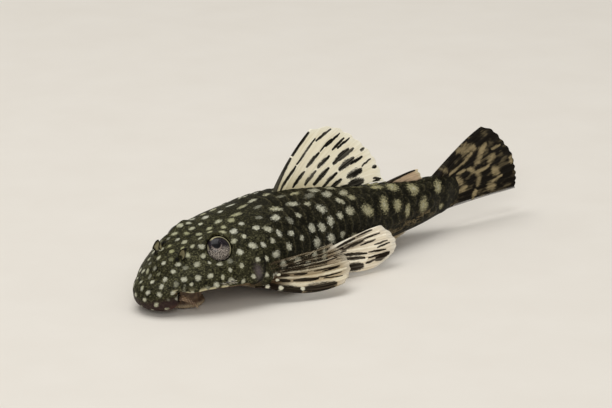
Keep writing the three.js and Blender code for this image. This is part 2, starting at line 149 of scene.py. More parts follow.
# The body's outline, as in the solids. Past the last plates its flesh thins out over the tail fin.
half_width = profile([0, 5.8], [4, 6.2], [8.5, 6.9], [13, 7.5], [17, 7.3], [22, 6.5],
                     [28, 5.1], [34, 3.8], [40, 2.6], [45, 1.7], [BODY_LENGTH, 1.1])
back = profile([0, 4.2], [1.6, 5.6], [3.5, 6.9], [5.5, 7.75], [8.5, 8.7], [13, 9.9], [20.5, 10.8],
               [28, 9.9], [34, 8.7], [40, 8], [44.5, 7.5], [BODY_LENGTH, 7.5])
belly = profile([0, 2.1], [3, 2.9], [6, 3.0], [9, 2.4], [12, 1.6], [15, 0.4], [18, -0.25], [28, -0.2],
                [32, 0.2], [36, 0.8], [40, 1.15], [44, 1.6], [BODY_LENGTH, 2.3])
widest_at = profile([0, 3.2], [5, 3.9], [9, 3.8], [14, 3.7], [22, 3.6], [30, 3.9], [38, 4.3],
                    [BODY_LENGTH, 4.9])
upper_squareness = profile([0, 1.4], [4, 1.5], [9, 2], [20, 1.9], [34, 2], [BODY_LENGTH, 2.3])
lower_squareness = profile([0, 2], [9, 2.2], [16, 2.7], [28, 3], [40, 2.2], [BODY_LENGTH, 2.2])
SNOUT_ROUND = 9
SNOUT_POWER = 2.15
BROW_ROUND = 3.2
CHIN_ROUND = 1.6
TAIL_FLESH = 2.6
TAIL_BULGE = 0.9
BULGE_LEAD = 1
TAIL_THIN = 0.15
TAIL_LOW = 0.8
SKIN_END = BODY_LENGTH + TAIL_FLESH


def rounding(x, length, power=2):
    """How far a front has opened at x: sqrt(1 - (1 - x/length)^power), and 1 past its length."""
    left = np.clip(1 - x / length, 0, 1)
    return np.sqrt(np.maximum(1 - left**power, 0))


def body_width(x):
    """Half the body's width at x, rounded off at the snout."""
    return half_width(x) * rounding(x, SNOUT_ROUND, SNOUT_POWER)


def body_rise(x):
    """How far the back stands above the widest level at x."""
    return (back(x) - widest_at(x)) * rounding(x, BROW_ROUND)


def section(x, turn):
    """The straight body's skin: a superellipse round the widest level with its own rise, drop and
    squareness above and below. turn is 0 under the belly, 0.25 on the left, 0.5 on the back. Its
    rear end bulges back in its middle height and thins out."""
    angle = 2 * np.pi * turn - np.pi / 2
    c, s = np.cos(angle), np.sin(angle)
    level = widest_at(x)
    drop = (level - belly(x)) * rounding(x, CHIN_ROUND)
    power = np.where(s > 0, upper_squareness(x), lower_squareness(x))
    scale = (np.abs(c) ** power + np.abs(s) ** power) ** (-1 / power)
    past = step(x, BODY_LENGTH, SKIN_END)
    bulge = TAIL_BULGE * step(x, BODY_LENGTH - BULGE_LEAD, SKIN_END) * (1 - (s * scale) ** 2)
    across = -body_width(x) * mix(1, TAIL_THIN, past) * c * scale
    height = np.where(s > 0, body_rise(x), drop) * mix(1, TAIL_LOW, past) * s * scale
    return join(x + bulge, across, level + height)


def section_out(x, turn, apart=0.002):
    """The direction away from the body, square to its long axis."""
    along = section(x, turn + apart) - section(x, turn - apart)
    return unit(join(0 * along[..., 0], -along[..., 2], along[..., 1]))


def head_height(x, y):
    """The height of the head's upper skin at x, y: the section's own curve solved for z."""
    power = upper_squareness(x)
    left = np.clip(1 - (np.abs(y) / body_width(x)) ** power, 0, 1)
    return widest_at(x) + body_rise(x) * left ** (1 / power)


def grid_out(p, wrap):
    """Normals of a grid of points: the cross product of its two directions."""
    down = np.gradient(p, axis=0)
    if wrap:
        across = (np.roll(p, -1, axis=1) - np.roll(p, 1, axis=1)) / 2
    else:
        across = np.gradient(p, axis=1)
    return unit(np.cross(across, down))


# Objects and pieces of mesh

def added(name, data):
    """A new object in the scene."""
    thing = bpy.data.objects.new(name, data)
    bpy.context.scene.collection.objects.link(thing)
    return thing


def aimed(thing, at, way):
    """Puts a lamp or a camera at a place in metres, looking along a direction."""
    thing.location = at
    thing.rotation_mode = "QUATERNION"
    thing.rotation_quaternion = Vector(way).to_track_quat("-Z", "Y")


def grid_faces(rows, columns, wrap):
    """Four-cornered faces between neighbouring points of a grid, round its columns if it wraps."""
    index = np.arange(rows * columns).reshape(rows, columns)
    if wrap:
        index = np.concatenate([index, index[:, :1]], axis=1)
    corners = [index[:-1, :-1], index[:-1, 1:], index[1:, 1:], index[1:, :-1]]
    return np.stack(corners, axis=-1).reshape(-1, 4)


class Shape:
    """Points in millimetres on the straight fish, faces of three or four corners, and named values
    at the points."""

    def __init__(self, points, faces, **values):
        self.points = np.asarray(points, float).reshape(-1, 3)
        self.faces = [np.asarray(f, int) for f in faces]
        count = len(self.points)
        self.values = {k: np.broadcast_to(np.asarray(v, float).ravel(), (count,)) for k, v in values.items()}

    def outwards(self):
        """The same shape with its faces turned to point out, judged by the sign of its volume."""
        volume = 0
        for f in self.faces:
            for k in range(1, f.shape[1] - 1):
                a, b, c = (self.points[f[:, i]] for i in (0, k, k + 1))
                volume += np.sum(a * np.cross(b, c))
        if volume < 0:
            self.faces = [f[:, ::-1] for f in self.faces]
        return self


def together(shapes):
    """Several shapes as one, with a value of 0 where a shape doesn't give it."""
    names = sorted({k for s in shapes for k in s.values})
    start = np.cumsum([0] + [len(s.points) for s in shapes])
    faces = [f + first for s, first in zip(shapes, start) for f in s.faces]
    values = {k: np.concatenate([s.values.get(k, np.zeros(len(s.points))) for s in shapes]) for k in names}
    return Shape(np.concatenate([s.points for s in shapes]), faces, **values)


def closed_tube(p, **values):
    """A grid of rings with a point added at each end's middle, which closes it."""
    rows, columns = p.shape[:2]
    ends = np.stack([p[0].mean(0), p[-1].mean(0)])
    ring = np.arange(columns)
    following = (ring + 1) % columns
    last = (rows - 1) * columns
    first_cap = np.stack([0 * ring + rows * columns, following, ring], axis=1)
    last_cap = np.stack([0 * ring + rows * columns + 1, last + ring, last + following], axis=1)
    full = {}
    for k, v in values.items():
        v = np.broadcast_to(v, (rows, columns))
        full[k] = np.concatenate([v.ravel(), [v[0].mean(), v[-1].mean()]])
    points = np.concatenate([p.reshape(-1, 3), ends])
    return Shape(points, [grid_faces(rows, columns, True), first_cap, last_cap], **full).outwards()


def closed_sheet(middle, out, half, **values):
    """A thin closed sheet: a grid moved out by half its thickness on one face and back on the other,
    with a strip of faces round its edge."""
    rows, columns = middle.shape[:2]
    front = middle + out * half[..., None]
    rear = middle - out * half[..., None]
    count = rows * columns
    index = np.arange(count).reshape(rows, columns)
    faces = grid_faces(rows, columns, False)
    rim = np.concatenate([index[0], index[1:, -1], index[-1, -2::-1], index[-2:0:-1, 0]])
    following = np.roll(rim, -1)
    strip = np.stack([following, rim, rim + count, following + count], axis=1)
    both = {k: np.tile(np.broadcast_to(v, (rows, columns)).ravel(), 2) for k, v in values.items()}
    points = np.concatenate([front.reshape(-1, 3), rear.reshape(-1, 3)])
    return Shape(points, [faces, faces[:, ::-1] + count, strip], **both).outwards()


def piece(name, shape, material, replaced=()):
    """Puts a shape into the scene in metres, bent, smooth, riding on the body."""
    mesh = bpy.data.meshes.new(name)
    points = bent(shape.points) * MM
    corners = np.concatenate([f.ravel() for f in shape.faces])
    totals = np.concatenate([np.full(len(f), f.shape[1]) for f in shape.faces])
    mesh.vertices.add(len(points))
    mesh.vertices.foreach_set("co", points.astype(np.float32).ravel())
    mesh.loops.add(len(corners))
    mesh.loops.foreach_set("vertex_index", corners.astype(np.int32))
    mesh.polygons.add(len(totals))
    mesh.polygons.foreach_set("loop_start", np.concatenate([[0], np.cumsum(totals)[:-1]]).astype(np.int32))
    mesh.polygons.foreach_set("loop_total", totals.astype(np.int32))
    mesh.update(calc_edges=True)
    mesh.validate()
    mesh.polygons.foreach_set("use_smooth", np.ones(len(mesh.polygons), bool))
    for key, value in shape.values.items():
        attribute = mesh.attributes.new(key, "FLOAT", "POINT")
        attribute.data.foreach_set("value", value.astype(np.float32))
    mesh.materials.append(material)
    thing = added(name, mesh)
    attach(thing, BODY)
    if replaced:
        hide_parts(*replaced)


# Materials

class Value:
    """A socket of a material on its way to the shader. Arithmetic on it adds Math nodes."""

    def __init__(self, finish, socket):
        self.finish = finish
        self.socket = socket

    def math(self, operation, *numbers):
        """A Math node fed with values or numbers in their order."""
        return self.finish.node("ShaderNodeMath", {"operation": operation}, dict(enumerate(numbers)))

    def square_root(self):
        """The value's square root."""
        return self.math("SQRT", self)

    def sine(self):
        """The sine of the value in radians."""
        return self.math("SINE", self)

    def __add__(self, other):
        return self.math("ADD", self, other)

    def __mul__(self, other):
        return self.math("MULTIPLY", self, other)

    def __sub__(self, other):
        return self.math("SUBTRACT", self, other)

    def __rsub__(self, other):
        return self.math("SUBTRACT", other, self)

    __radd__ = __add__
    __rmul__ = __mul__


class Finish:
    """A material with its Principled shader, and short ways to add nodes."""

    def __init__(self, name, **constants):
        self.material = bpy.data.materials.new(name)
        self.material.use_nodes = True
        self.tree = self.material.node_tree
        self.shader = self.tree.nodes["Principled BSDF"]
        self.place = self.node("ShaderNodeTexCoord", {}, {}, "Object")
        for key, number in constants.items():
            self.shader.inputs[key.replace("_", " ")].default_value = number

    def node(self, kind, settings, inputs, output=0):
        """Adds a node, sets it, feeds its sockets with numbers or links, and returns one output."""
        made = self.tree.nodes.new(kind)
        for key, setting in settings.items():
            setattr(made, key, setting)
        for key, given in inputs.items():
            if isinstance(given, Value):
                self.tree.links.new(given.socket, made.inputs[key])
            else:
                made.inputs[key].default_value = given
        return Value(self, made.outputs[output])

    def attribute(self, name):
        """A value that the shape carries at its points."""
        return self.node("ShaderNodeAttribute", {"attribute_name": name}, {}, "Fac")

    def noise(self, size, detail=2, stretch=(1, 1, 1), roughness=0.5):
        """Noise from 0 to 1 with features of a size in millimetres, stretched along the axes."""
        inputs = {"Vector": self.scaled(stretch), "Scale": 1 / (size * MM)}
        inputs |= {"Detail": detail, "Roughness": roughness}
        return self.node("ShaderNodeTexNoise", {}, inputs)

    def ray_noise(self, across, along, detail=2):
        """Noise that follows a fin's rays, with features this many rays wide and this share of a
        ray's length long."""
        place = self.attribute("place") * (1 / across)
        length = self.attribute("along") * (1 / along)
        spot = self.node("ShaderNodeCombineXYZ", {}, {0: place, 1: length})
        return self.node("ShaderNodeTexNoise", {}, {"Vector": spot, "Scale": 1.0, "Detail": detail})

    def cells(self, size, stretch=(1, 1, 1)):
        """Distance to scattered points, with cells of a size in millimetres."""
        inputs = {"Vector": self.scaled(stretch), "Scale": 1 / (size * MM)}
        return self.node("ShaderNodeTexVoronoi", {"feature": "F1"}, inputs)

    def scaled(self, stretch):
        """The place, shrunk along each axis, so that a pattern on it is stretched."""
        shrink = tuple(1 / s for s in stretch)
        return self.node("ShaderNodeVectorMath", {"operation": "MULTIPLY"}, {0: self.place, 1: shrink})

    def step(self, value, low, high, to_low=0.0, to_high=1.0):
        """A smooth step of a value from to_low at low to to_high at high."""
        inputs = {0: value, 1: low, 2: high, 3: to_low, 4: to_high}
        return self.node("ShaderNodeMapRange", {"interpolation_type": "SMOOTHSTEP"}, inputs)

    def held(self, value):
        """A value held between 0 and 1."""
        return self.node("ShaderNodeClamp", {}, {0: value})

    def blend(self, factor, first, second):
        """Two colours mixed by a factor. A Mix node takes colours at 6 and 7 and gives one at 2."""
        return self.node("ShaderNodeMix", {"data_type": "RGBA"}, {0: factor, 6: first, 7: second}, 2)

    def height(self, value, tall, strength=1.0):
        """A bump of a height in millimetres."""
        return self.node("ShaderNodeBump", {}, {"Height": value, "Distance": tall * MM, "Strength": strength})

    def feed(self, **links):
        """Links values to the shader's own sockets."""
        for key, value in links.items():
            self.tree.links.new(value.socket, self.shader.inputs[key.replace("_", " ")])
        return self.material


def colour(red, green, blue):
    """A colour given as seen on a screen, 0 to 255, in the linear light that shaders use."""
    seen = np.array([red, green, blue]) / 255
    light = np.where(seen <= 0.04045, seen / 12.92, ((seen + 0.055) / 1.055) ** 2.4)
    return (*(float(v) for v in light), 1.0)


def palette(table):
    """A table's colours by name, in the light that shaders use."""
    return SimpleNamespace(**{name: colour(*seen) for name, seen in table.items()})


# Skin

EYE_RADIUS = 1.6
EYE_FLAT = 0.66
EYE_AT = np.array([8.35, 3.7, 7.05])
EYE_FACES = unit(np.array([-0.3, 0.76, 0.57]))

# Swellings of the brow, the snout beside the nostril, the cheek and the gill cover: place, height
# and reach
SWELLINGS = [
    (*EYE_AT, 0.4, 2.1),
    (5.8, 2.6, 7.4, 0.55, 1.5),
    (11.5, 6.4, 3, 0.25, 2.2),
    (12.9, 6.5, 3.1, 0.35, 1.3),
]


def mirrored(v, side):
    """A point or direction of the right side, or its mirror image on the left."""
    return np.array([v[0], side * v[1], v[2]])


def swelling(p):
    """Bells of a height and reach round places on both sides of the head."""
    x, y, z = np.moveaxis(p, -1, 0)
    total = 0
    for at_x, at_y, at_z, height, reach in SWELLINGS:
        far = np.sqrt((x - at_x) ** 2 + (np.abs(y) - at_y) ** 2 + (z - at_z) ** 2)
        total = total + height * bump(far / reach)
    return total


# Rows of bony plates on the flanks, each rising to a rear edge that bulges back in its middle
BELLY_EDGE = 0.13
BELLY_FADE = (-0.2, 0.2)
PLATE_ROWS = 5
PLATE_LENGTH = 1.4
PLATE_RISE = 0.15
PLATE_ARCH = 0.5
PLATE_FADE = 1.5
RAMP_POWER = 1.6
RAMP_CREST = 0.86
EDGE_BULGE = 0.32
EDGE_CORNER = 0.35
PLATES_END = BODY_LENGTH - 0.5
PLATES_FULL = BODY_LENGTH - 2.5
ROW_HIGH = (0.5 - BELLY_EDGE) / PLATE_ROWS


def nape(turn):
    """Where the head ends, further back on the nape than under the throat."""
    return HEAD_END + NAPE_SLANT * (0.5 - 0.5 * np.cos(2 * np.pi * turn))


def plates(x, turn):
    """The lift of the plates: along x a ramp that drops at each rear edge, stronger in the middle of
    its row, plus an arch over each row. It is 0 on the head, the bare belly and the tail's end.
    Returns also how near points are to a rear edge."""
    level = np.minimum(turn, 1 - turn)
    row = (level - BELLY_EDGE) / ROW_HIGH
    place = row - np.floor(row)
    arch = 4 * place * (1 - place)
    stagger = 0.5 * (np.floor(row) % 2)
    phase = (x - EDGE_BULGE * arch) / PLATE_LENGTH + stagger
    ramp = phase - np.floor(phase)
    edge = ramp**RAMP_POWER * step(ramp, 1, RAMP_CREST)
    shown = smooth((x - nape(turn)) / PLATE_FADE) * step(row, *BELLY_FADE)
    lift = PLATE_RISE * (edge * mix(EDGE_CORNER, 1, arch) + PLATE_ARCH * arch)
    return lift * shown * step(x, PLATES_END, PLATES_FULL), edge * shown


# The upper lip is a roll round the front of the mouth
LIP_X = 4.2
LIP_REACH = (3.75, 3.4)
LIP_THICK = 1.25
LIP_HIGH = 1.35
LIP_END_THICK = 0.8
LIP_END_HIGH = 0.85
LIP_TAPER = 0.97
LIP_LEVEL = 1.85
LIP_SWEEP = np.radians(63)
LIP_BLEND = 1.1

# Rays that look for the lip start inside the head, and only points below and before these look
LIP_FROM = 5.0
LIP_LIFT = 3.9
LIP_BEFORE = 6.5
LIP_BELOW = 5.5
SEARCH_FROM = 4.0
SEARCH_STEPS = 70
SEARCH_PACE = 0.7
LEAST_FACING = 0.35

# How far a point has moved when it counts as lip, and how near the lip it lies
LIP_MOVED = (0.05, 0.3)
LIP_NEAR = (0.3, 0)


def lip_distance(p):
    """About how far points lie outside the lip roll: the ellipse distance from the nearest place on
    its bent middle line, with the roll tapering to its ends."""
    x, y, z = np.moveaxis(p, -1, 0)
    turn = np.arctan2(y / LIP_REACH[1], (LIP_X - x) / LIP_REACH[0])
    turn = np.clip(turn, -LIP_SWEEP, LIP_SWEEP)
    part = turn / LIP_SWEEP
    shrink = np.sqrt(1 - LIP_TAPER * np.abs(part) ** 5)
    thick = LIP_THICK * shrink * mix(1, LIP_END_THICK, part**2)
    high = LIP_HIGH * shrink * mix(1, LIP_END_HIGH, part**2)
    away_x = x - LIP_X + LIP_REACH[0] * np.cos(turn)
    away_y = y - LIP_REACH[1] * np.sin(turn)
    radial = -away_x * np.cos(turn) + away_y * np.sin(turn)
    along = away_x * np.sin(turn) + away_y * np.cos(turn)
    reach = np.sqrt((radial / thick) ** 2 + ((z - LIP_LEVEL) / high) ** 2 + (along / thick) ** 2)
    return (reach - 1) * np.minimum(thick, high)


def with_lip(p, out):
    """Skin carried out to the rounded union of the body and the lip roll. Each point moves along a ray
    from inside the head, in from far out, until the smaller of its distance to the body and to the lip,
    softened where the two are near, is 0. Returns the points and how much of each is lip."""
    start = join(np.maximum(p[..., 0], LIP_FROM), 0, LIP_LIFT)
    ray = unit(p - start)
    facing = np.clip(np.sum(ray * out, axis=-1), LEAST_FACING, 1)
    near = (p[..., 0] < LIP_BEFORE) & (p[..., 2] < LIP_BELOW)
    travel = np.where(near, SEARCH_FROM, 0)
    for _ in range(SEARCH_STEPS):
        body = travel * facing
        lip = lip_distance(p + ray * travel[..., None])
        overlap = np.maximum(LIP_BLEND - np.abs(body - lip), 0) / LIP_BLEND
        nearest = np.minimum(body, lip) - overlap**2 * LIP_BLEND / 4
        travel = np.where(near, np.maximum(travel - SEARCH_PACE * nearest, 0), 0)
    moved = p + ray * travel[..., None]
    return moved, step(travel, *LIP_MOVED) * step(lip_distance(moved), *LIP_NEAR)


# The socket behind each eyeball and the ring of skin round it: distances from the eye's axis, and
# heights along it
SOCKET_EDGE = (1.46, 1.68)
SOCKET_FLOOR = -0.5
SOCKET_TOP = 0.4
SKIN_HIGH = 0.35
RIM_AT = 1.86
RIM_TALL = 0.27
RIM_WIDE = 0.24
ORBIT_FADE = 0.9
ORBIT_DEEP = (-2.2, -1.4)
BEHIND_EYE = -2
FAR = 9.0


def with_orbits(p):
    """Skin pressed in behind each eyeball and raised in a ring round it: its height along the eye's
    axis goes to a set height within the ring and fades to its own beyond. Returns also the distance
    from the nearer eye's axis."""
    nearest = np.full(p.shape[:-1], FAR)
    for side in SIDES.values():
        axis = mirrored(EYE_FACES, side)
        away = p - mirrored(EYE_AT, side)
        height = away @ axis
        radius = np.linalg.norm(away - height[..., None] * axis, axis=-1)
        socket = mix(SOCKET_FLOOR, SOCKET_TOP, step(radius, *SOCKET_EDGE))
        wanted = np.minimum(socket, SKIN_HIGH) + RIM_TALL * bump((radius - RIM_AT) / RIM_WIDE)
        weight = step(radius, RIM_AT + ORBIT_FADE, RIM_AT) * step(height, *ORBIT_DEEP)
        p = p + ((wanted - height) * weight)[..., None] * axis
        nearest = np.minimum(nearest, np.where(height > BEHIND_EYE, radius, FAR))
    return p, nearest


# The fold along the lower cheek: its level round the body, how soft it is, and its drop along x
FOLD_LEVEL = 0.218
FOLD_SOFT = 0.045
fold_drop = profile([1.8, 0], [3.4, 0.62], [5, 0.5], [8, 0.36], [11, 0])


def cheek_fold(x, turn):
    """How far the lower edge of the cheek hangs down: a bell over its level on the side, from the
    mouth's corner to the gill."""
    level = np.minimum(turn, 1 - turn)
    return fold_drop(x) * bump((level - FOLD_LEVEL) / FOLD_SOFT)


# Nostrils: the middle of each, with a pit ahead of it and one behind, in the skin above a height
NOSTRIL_X = 4
NOSTRIL_Y = 1.8
PIT_X = (NOSTRIL_X - 0.6, NOSTRIL_X + 0.65)
PIT_RADIUS = 0.3
PIT_DEEP = 0.4
PIT_ABOVE = 5


def pits(p):
    """How deep points lie in the four nostril pits, 0 to 1, seen from above."""
    deep = 0
    for x in PIT_X:
        far = np.hypot(p[..., 0] - x, np.abs(p[..., 1]) - NOSTRIL_Y)
        deep = deep + bump(far / PIT_RADIUS) * (p[..., 2] > PIT_ABOVE)
    return deep


# The gill opening's upper and lower end as x and height, and its bow, width and depth
GILL_TOP = np.array([12.7, 6.1])
GILL_FOOT = np.array([10.5, 2.9])
GILL_BOW = 0.7
GILL_WIDE = 0.26
GILL_DEEP = 0.22
GILL_FADE = (-0.08, 0.12)
GILL_OUT = 3


def gill_slit(p):
    """How near points lie to the gill opening, 0 to 1: a bell across a bowed line on each side."""
    line = GILL_FOOT - GILL_TOP
    away = np.stack([p[..., 0] - GILL_TOP[0], p[..., 2] - GILL_TOP[1]], axis=-1)
    part = away @ line / (line @ line)
    across = (away[..., 0] * line[1] - away[..., 1] * line[0]) / np.linalg.norm(line)
    held = np.clip(part, 0, 1)
    bow = GILL_BOW * 4 * held * (1 - held)
    ends = step(part, *GILL_FADE) * step(1 - part, *GILL_FADE)
    return bump((across + bow) / GILL_WIDE) * ends * (np.abs(p[..., 1]) > GILL_OUT)


# The skin's grid
RINGS = 336
AROUND = 288
FINE_PLACES = 6000
FIRST_RING = 0.002
SNOUT_SHARE = 14.0
SNOUT_TO = 3
BACK_CROWD = 0.22
ring_density = profile([0, 9.5], [12, 9.5], [15, 5.8], [40, 5.6], [SKIN_END, 5.6])


def skin_grid():
    """Places of the skin's rings and columns. Rings stand so that the sum of their density along x and
    a share that grows as the square root from the snout rises evenly; columns are closer on the back."""
    x = np.linspace(0, SKIN_END, FINE_PLACES)
    density = np.cumsum(ring_density(x)) * (x[1] - x[0])
    total = density + SNOUT_SHARE * np.sqrt(np.minimum(x, SNOUT_TO) / SNOUT_TO)
    rings = np.interp(np.linspace(total[0], total[-1], RINGS), total, x)
    rings[0] = FIRST_RING
    turn = np.arange(AROUND) / AROUND
    return grid(rings, turn + BACK_CROWD * np.sin(2 * np.pi * turn) / (2 * np.pi))


def skin_surface(x, turn):
    """The skin of the whole body: section, swellings and plates, then the lip, the orbits, the
    nostril pits and the gill slit, pressed flat where it would pass the floor."""
    p = section(x, turn)
    out = section_out(x, turn)
    plate, edge = plates(x, turn)
    p = p + out * (swelling(p) + plate)[..., None]
    p[..., 2] -= cheek_fold(x, turn)
    out = grid_out(p, True)
    p, lip = with_lip(p, out)
    p, eye_far = with_orbits(p)
    out = grid_out(p, True)
    pit = pits(p)
    gill = gill_slit(p)
    p = p - out * (PIT_DEEP * np.minimum(pit, 1) + GILL_DEEP * gill)[..., None]
    p[..., 2] = np.maximum(p[..., 2], 0)
    return p, {"lip": lip, "eye_far": eye_far, "pit": pit, "gill": gill, "edge": edge}


# Spots. Small round ones are thrown over the head and flanks, each at a random size, stretch, slant
# and strength within these limits; they are longer on the crown, and some are faint
SPOT_TRIES = 30000
SPOT_SIZE = (0.72, 1.2)
SPOT_APART = (0.9, 1.25)
SPOT_STRETCH = (0.85, 1.25)
CROWN_STRETCH = (1.3, 1.8)
CROWN_LONG = (11, 15)
CROWN_SLANT_CUT = 0.7
SPOT_SLANT = 0.7
SPOT_STRONG = (0.8, 1)
FAINT_SHARE = 0.13
FAINT = 0.4
CLEAR_OF_EYE = 2.05
CLEAR_OF_HOLES = 0.1
spot_spacing = profile([0, 1.02], [7, 1.16], [12, 1.45], [20, 1.76], [34, 2.05], [48, 2.2])
spot_radius = profile([0, 0.33], [7, 0.39], [12, 0.48], [20, 0.6], [34, 0.75], [48, 0.85])

# The large ones of the tail stand in an upper and a lower row: place along the fish, height, half
# length and half height. Those below a level lean, and the right side's stand a little further back.
TAIL_SPOTS = [
    (31.2, 8.5, 0.8, 0.5), (33.7, 8.8, 1.2, 0.5), (36.5, 8.4, 1.2, 0.5), (39.1, 8, 1.05, 0.85),
    (42.2, 7.2, 1.1, 1), (46.7, 6.4, 0.8, 1.05), (32.8, 6.7, 1.15, 0.9), (36.3, 6.6, 0.8, 1.3),
    (38.5, 6, 0.75, 0.95), (40.3, 4.9, 0.55, 1.05), (43.5, 4.9, 0.9, 1.15), (47.2, 3.7, 0.5, 0.45),
]
TAIL_SPOTS_FROM = 30.6
TAIL_SPOT_SHIFT = 0.35
TAIL_SPOT_LEAN = 0.25
LEAN_BELOW = 7
TAIL_SPOT_STRONG = 0.9
TAIL_SPOT_TONE = 0.75
END_FACING = 0.9


def thrown_spots(p, allowed):
    """Points of the skin picked at random, evenly by area, and kept where no earlier one is too near.
    Returns their indices in the flat grid."""
    area = np.linalg.norm(np.cross(np.gradient(p, axis=0), np.gradient(p, axis=1)), axis=-1)
    chance = (area * allowed).ravel()
    picks = dice.choice(chance.size, SPOT_TRIES, p=chance / chance.sum())
    points = p.reshape(-1, 3)[picks]
    spacing = spot_spacing(points[:, 0]) * dice.uniform(*SPOT_APART, SPOT_TRIES)
    kept = np.zeros(0, int)
    for i in range(SPOT_TRIES):
        if np.all(np.linalg.norm(points[kept] - points[i], axis=1) > spacing[i]):
            kept = np.append(kept, i)
    return picks[kept]


def thrown_looks(x, crown):
    """Half length, half height, slant, strength and tone of each thrown spot, drawn at random."""
    count = len(x)
    size = spot_radius(x) * dice.uniform(*SPOT_SIZE, count)
    short = dice.uniform(*SPOT_STRETCH, count)
    long = dice.uniform(*CROWN_STRETCH, count)
    stretch = mix(short, long, crown * step(x, *CROWN_LONG))
    slant = dice.uniform(-SPOT_SLANT, SPOT_SLANT, count) * (1 - CROWN_SLANT_CUT * crown)
    faint = dice.uniform(0, 1, count) < FAINT_SHARE
    strength = np.where(faint, FAINT, 1) * dice.uniform(*SPOT_STRONG, count)
    tone = dice.uniform(0, 1, count)
    return np.array([size * stretch, size / stretch, slant, strength, tone])


def tail_spots(centres, outs):
    """The indices of the skin's points nearest the tail spots on either side, leaving out the other
    side and the skin's end, and the spots' looks in the order of thrown_looks."""
    picks, looks = [], []
    for side in SIDES.values():
        for at_x, at_z, half_long, half_high in TAIL_SPOTS:
            shift = TAIL_SPOT_SHIFT * (side > 0)
            far = np.hypot(centres[:, 0] - at_x - shift, centres[:, 2] - at_z)
            far = far + FAR * (centres[:, 1] * side < 0) + FAR * (np.abs(outs[:, 0]) > END_FACING)
            picks.append(int(np.argmin(far)))
            lean = TAIL_SPOT_LEAN * (at_z < LEAN_BELOW)
            looks.append([half_long, half_high, lean, TAIL_SPOT_STRONG, TAIL_SPOT_TONE])
    return picks, np.transpose(looks)


def spot_frames(p, out, marks):
    """Every spot's centre and outward direction, its two half lengths as directions divided by them,
    which make it round, oval or slanted, and its strength and tone."""
    allowed = (1 - marks["underside"]) * (marks["eye_far"] > CLEAR_OF_EYE)
    allowed = allowed * (marks["pit"] < CLEAR_OF_HOLES) * (marks["gill"] < CLEAR_OF_HOLES)
    thrown = thrown_spots(p, allowed * (p[..., 0] < TAIL_SPOTS_FROM))
    centres, outs = p.reshape(-1, 3), out.reshape(-1, 3)
    looks = thrown_looks(centres[thrown, 0], marks["crown"].ravel()[thrown])
    tail, tail_looks = tail_spots(centres, outs)
    picks = np.concatenate([thrown, tail])
    long, high, lean, strength, tone = np.concatenate([looks, tail_looks], axis=1)
    centre, away = centres[picks], outs[picks]
    ahead = unit(np.array([1.0, 0, 0]) - away[:, :1] * away)
    above = np.cross(ahead, away)
    c, s = np.cos(lean)[:, None], np.sin(lean)[:, None]
    first = (c * ahead + s * above) / long[:, None]
    second = (c * above - s * ahead) / high[:, None]
    return centre, away, first, second, strength, tone


# The ratio where there is no spot near, and how far along x one is looked for
NO_SPOT = 4.0
SPOT_REACH = 3.5


def spot_values(p, frames):
    """For each point, the smallest ratio of its distance from a spot to that spot's size in that
    direction, with the strength and tone of that nearest spot."""
    points = p.reshape(-1, 3)
    best = np.full(len(points), NO_SPOT)
    strength = np.zeros(len(points))
    tone = np.zeros(len(points))
    for centre, away, first, second, its_strength, its_tone in zip(*frames):
        near = np.flatnonzero(np.abs(points[:, 0] - centre[0]) < SPOT_REACH)
        gap = points[near] - centre
        ratio = np.sqrt((gap @ first) ** 2 + (gap @ second) ** 2 + (gap @ away) ** 2)
        closer = ratio < best[near]
        found = near[closer]
        best[found] = ratio[closer]
        strength[found] = its_strength
        tone[found] = its_tone
    return [v.reshape(p.shape[:-1]) for v in (best, strength, tone)]


# Marks of the skin. A pair of numbers is where a mark has faded to 0 and where it is whole, but for
# the bare strip of the belly, where BARE_HALF is half its width at its front and at its rear.
HEAD_UNDER = (13, 9)
FACING_DOWN = (0.35, 0.65)
BELOW_WIDEST = (0.35, 0.65)
BARE_HALF = (0.11, 0.02)
BARE_NARROWS = (26, 36)
BARE_SOFT = 0.06
BARE_ENDS = (45, 42)
MOUTH_DOWN = (0.1, 0.6)
MOUTH_FROM = (0.6, 1.4)
PALE_LEVEL = 0.229
PALE_SOFT = 0.017
PALE_FROM = (0.9, 1.5)
PALE_TO = (8.6, 7.1)
KEEL_LEVEL = 0.17
KEEL_SOFT = 0.05
KEEL_FROM = (24, 30)
KEEL_TO = (BODY_LENGTH, BODY_LENGTH - 3)
CROWN_FROM = (0.36, 0.46)
MAUVE_AT = (11.5, 7.4, 4.4)
MAUVE_SIZE = (0.5, 1, 0.9)
LOW_ON_LIP = (2.3, 0.9)
LOW_SLANT = 0.25


def undersides(x, level, p, out, lip):
    """How much of the skin is bare underside, and how much is the mouth's side of the lip. On the head
    the underside is what faces down below the widest level, and behind it a strip along the belly."""
    facing = -out[..., 2]
    head = step(widest_at(x) - p[..., 2], *BELOW_WIDEST) * step(facing, *FACING_DOWN)
    half = mix(*BARE_HALF, step(x, *BARE_NARROWS))
    strip = step(level, half + BARE_SOFT, half) * step(x, *BARE_ENDS)
    underside = mix(strip, head, step(x, *HEAD_UNDER)) * (1 - lip)
    return underside, lip * step(facing, *MOUTH_DOWN) * step(p[..., 0], *MOUTH_FROM)


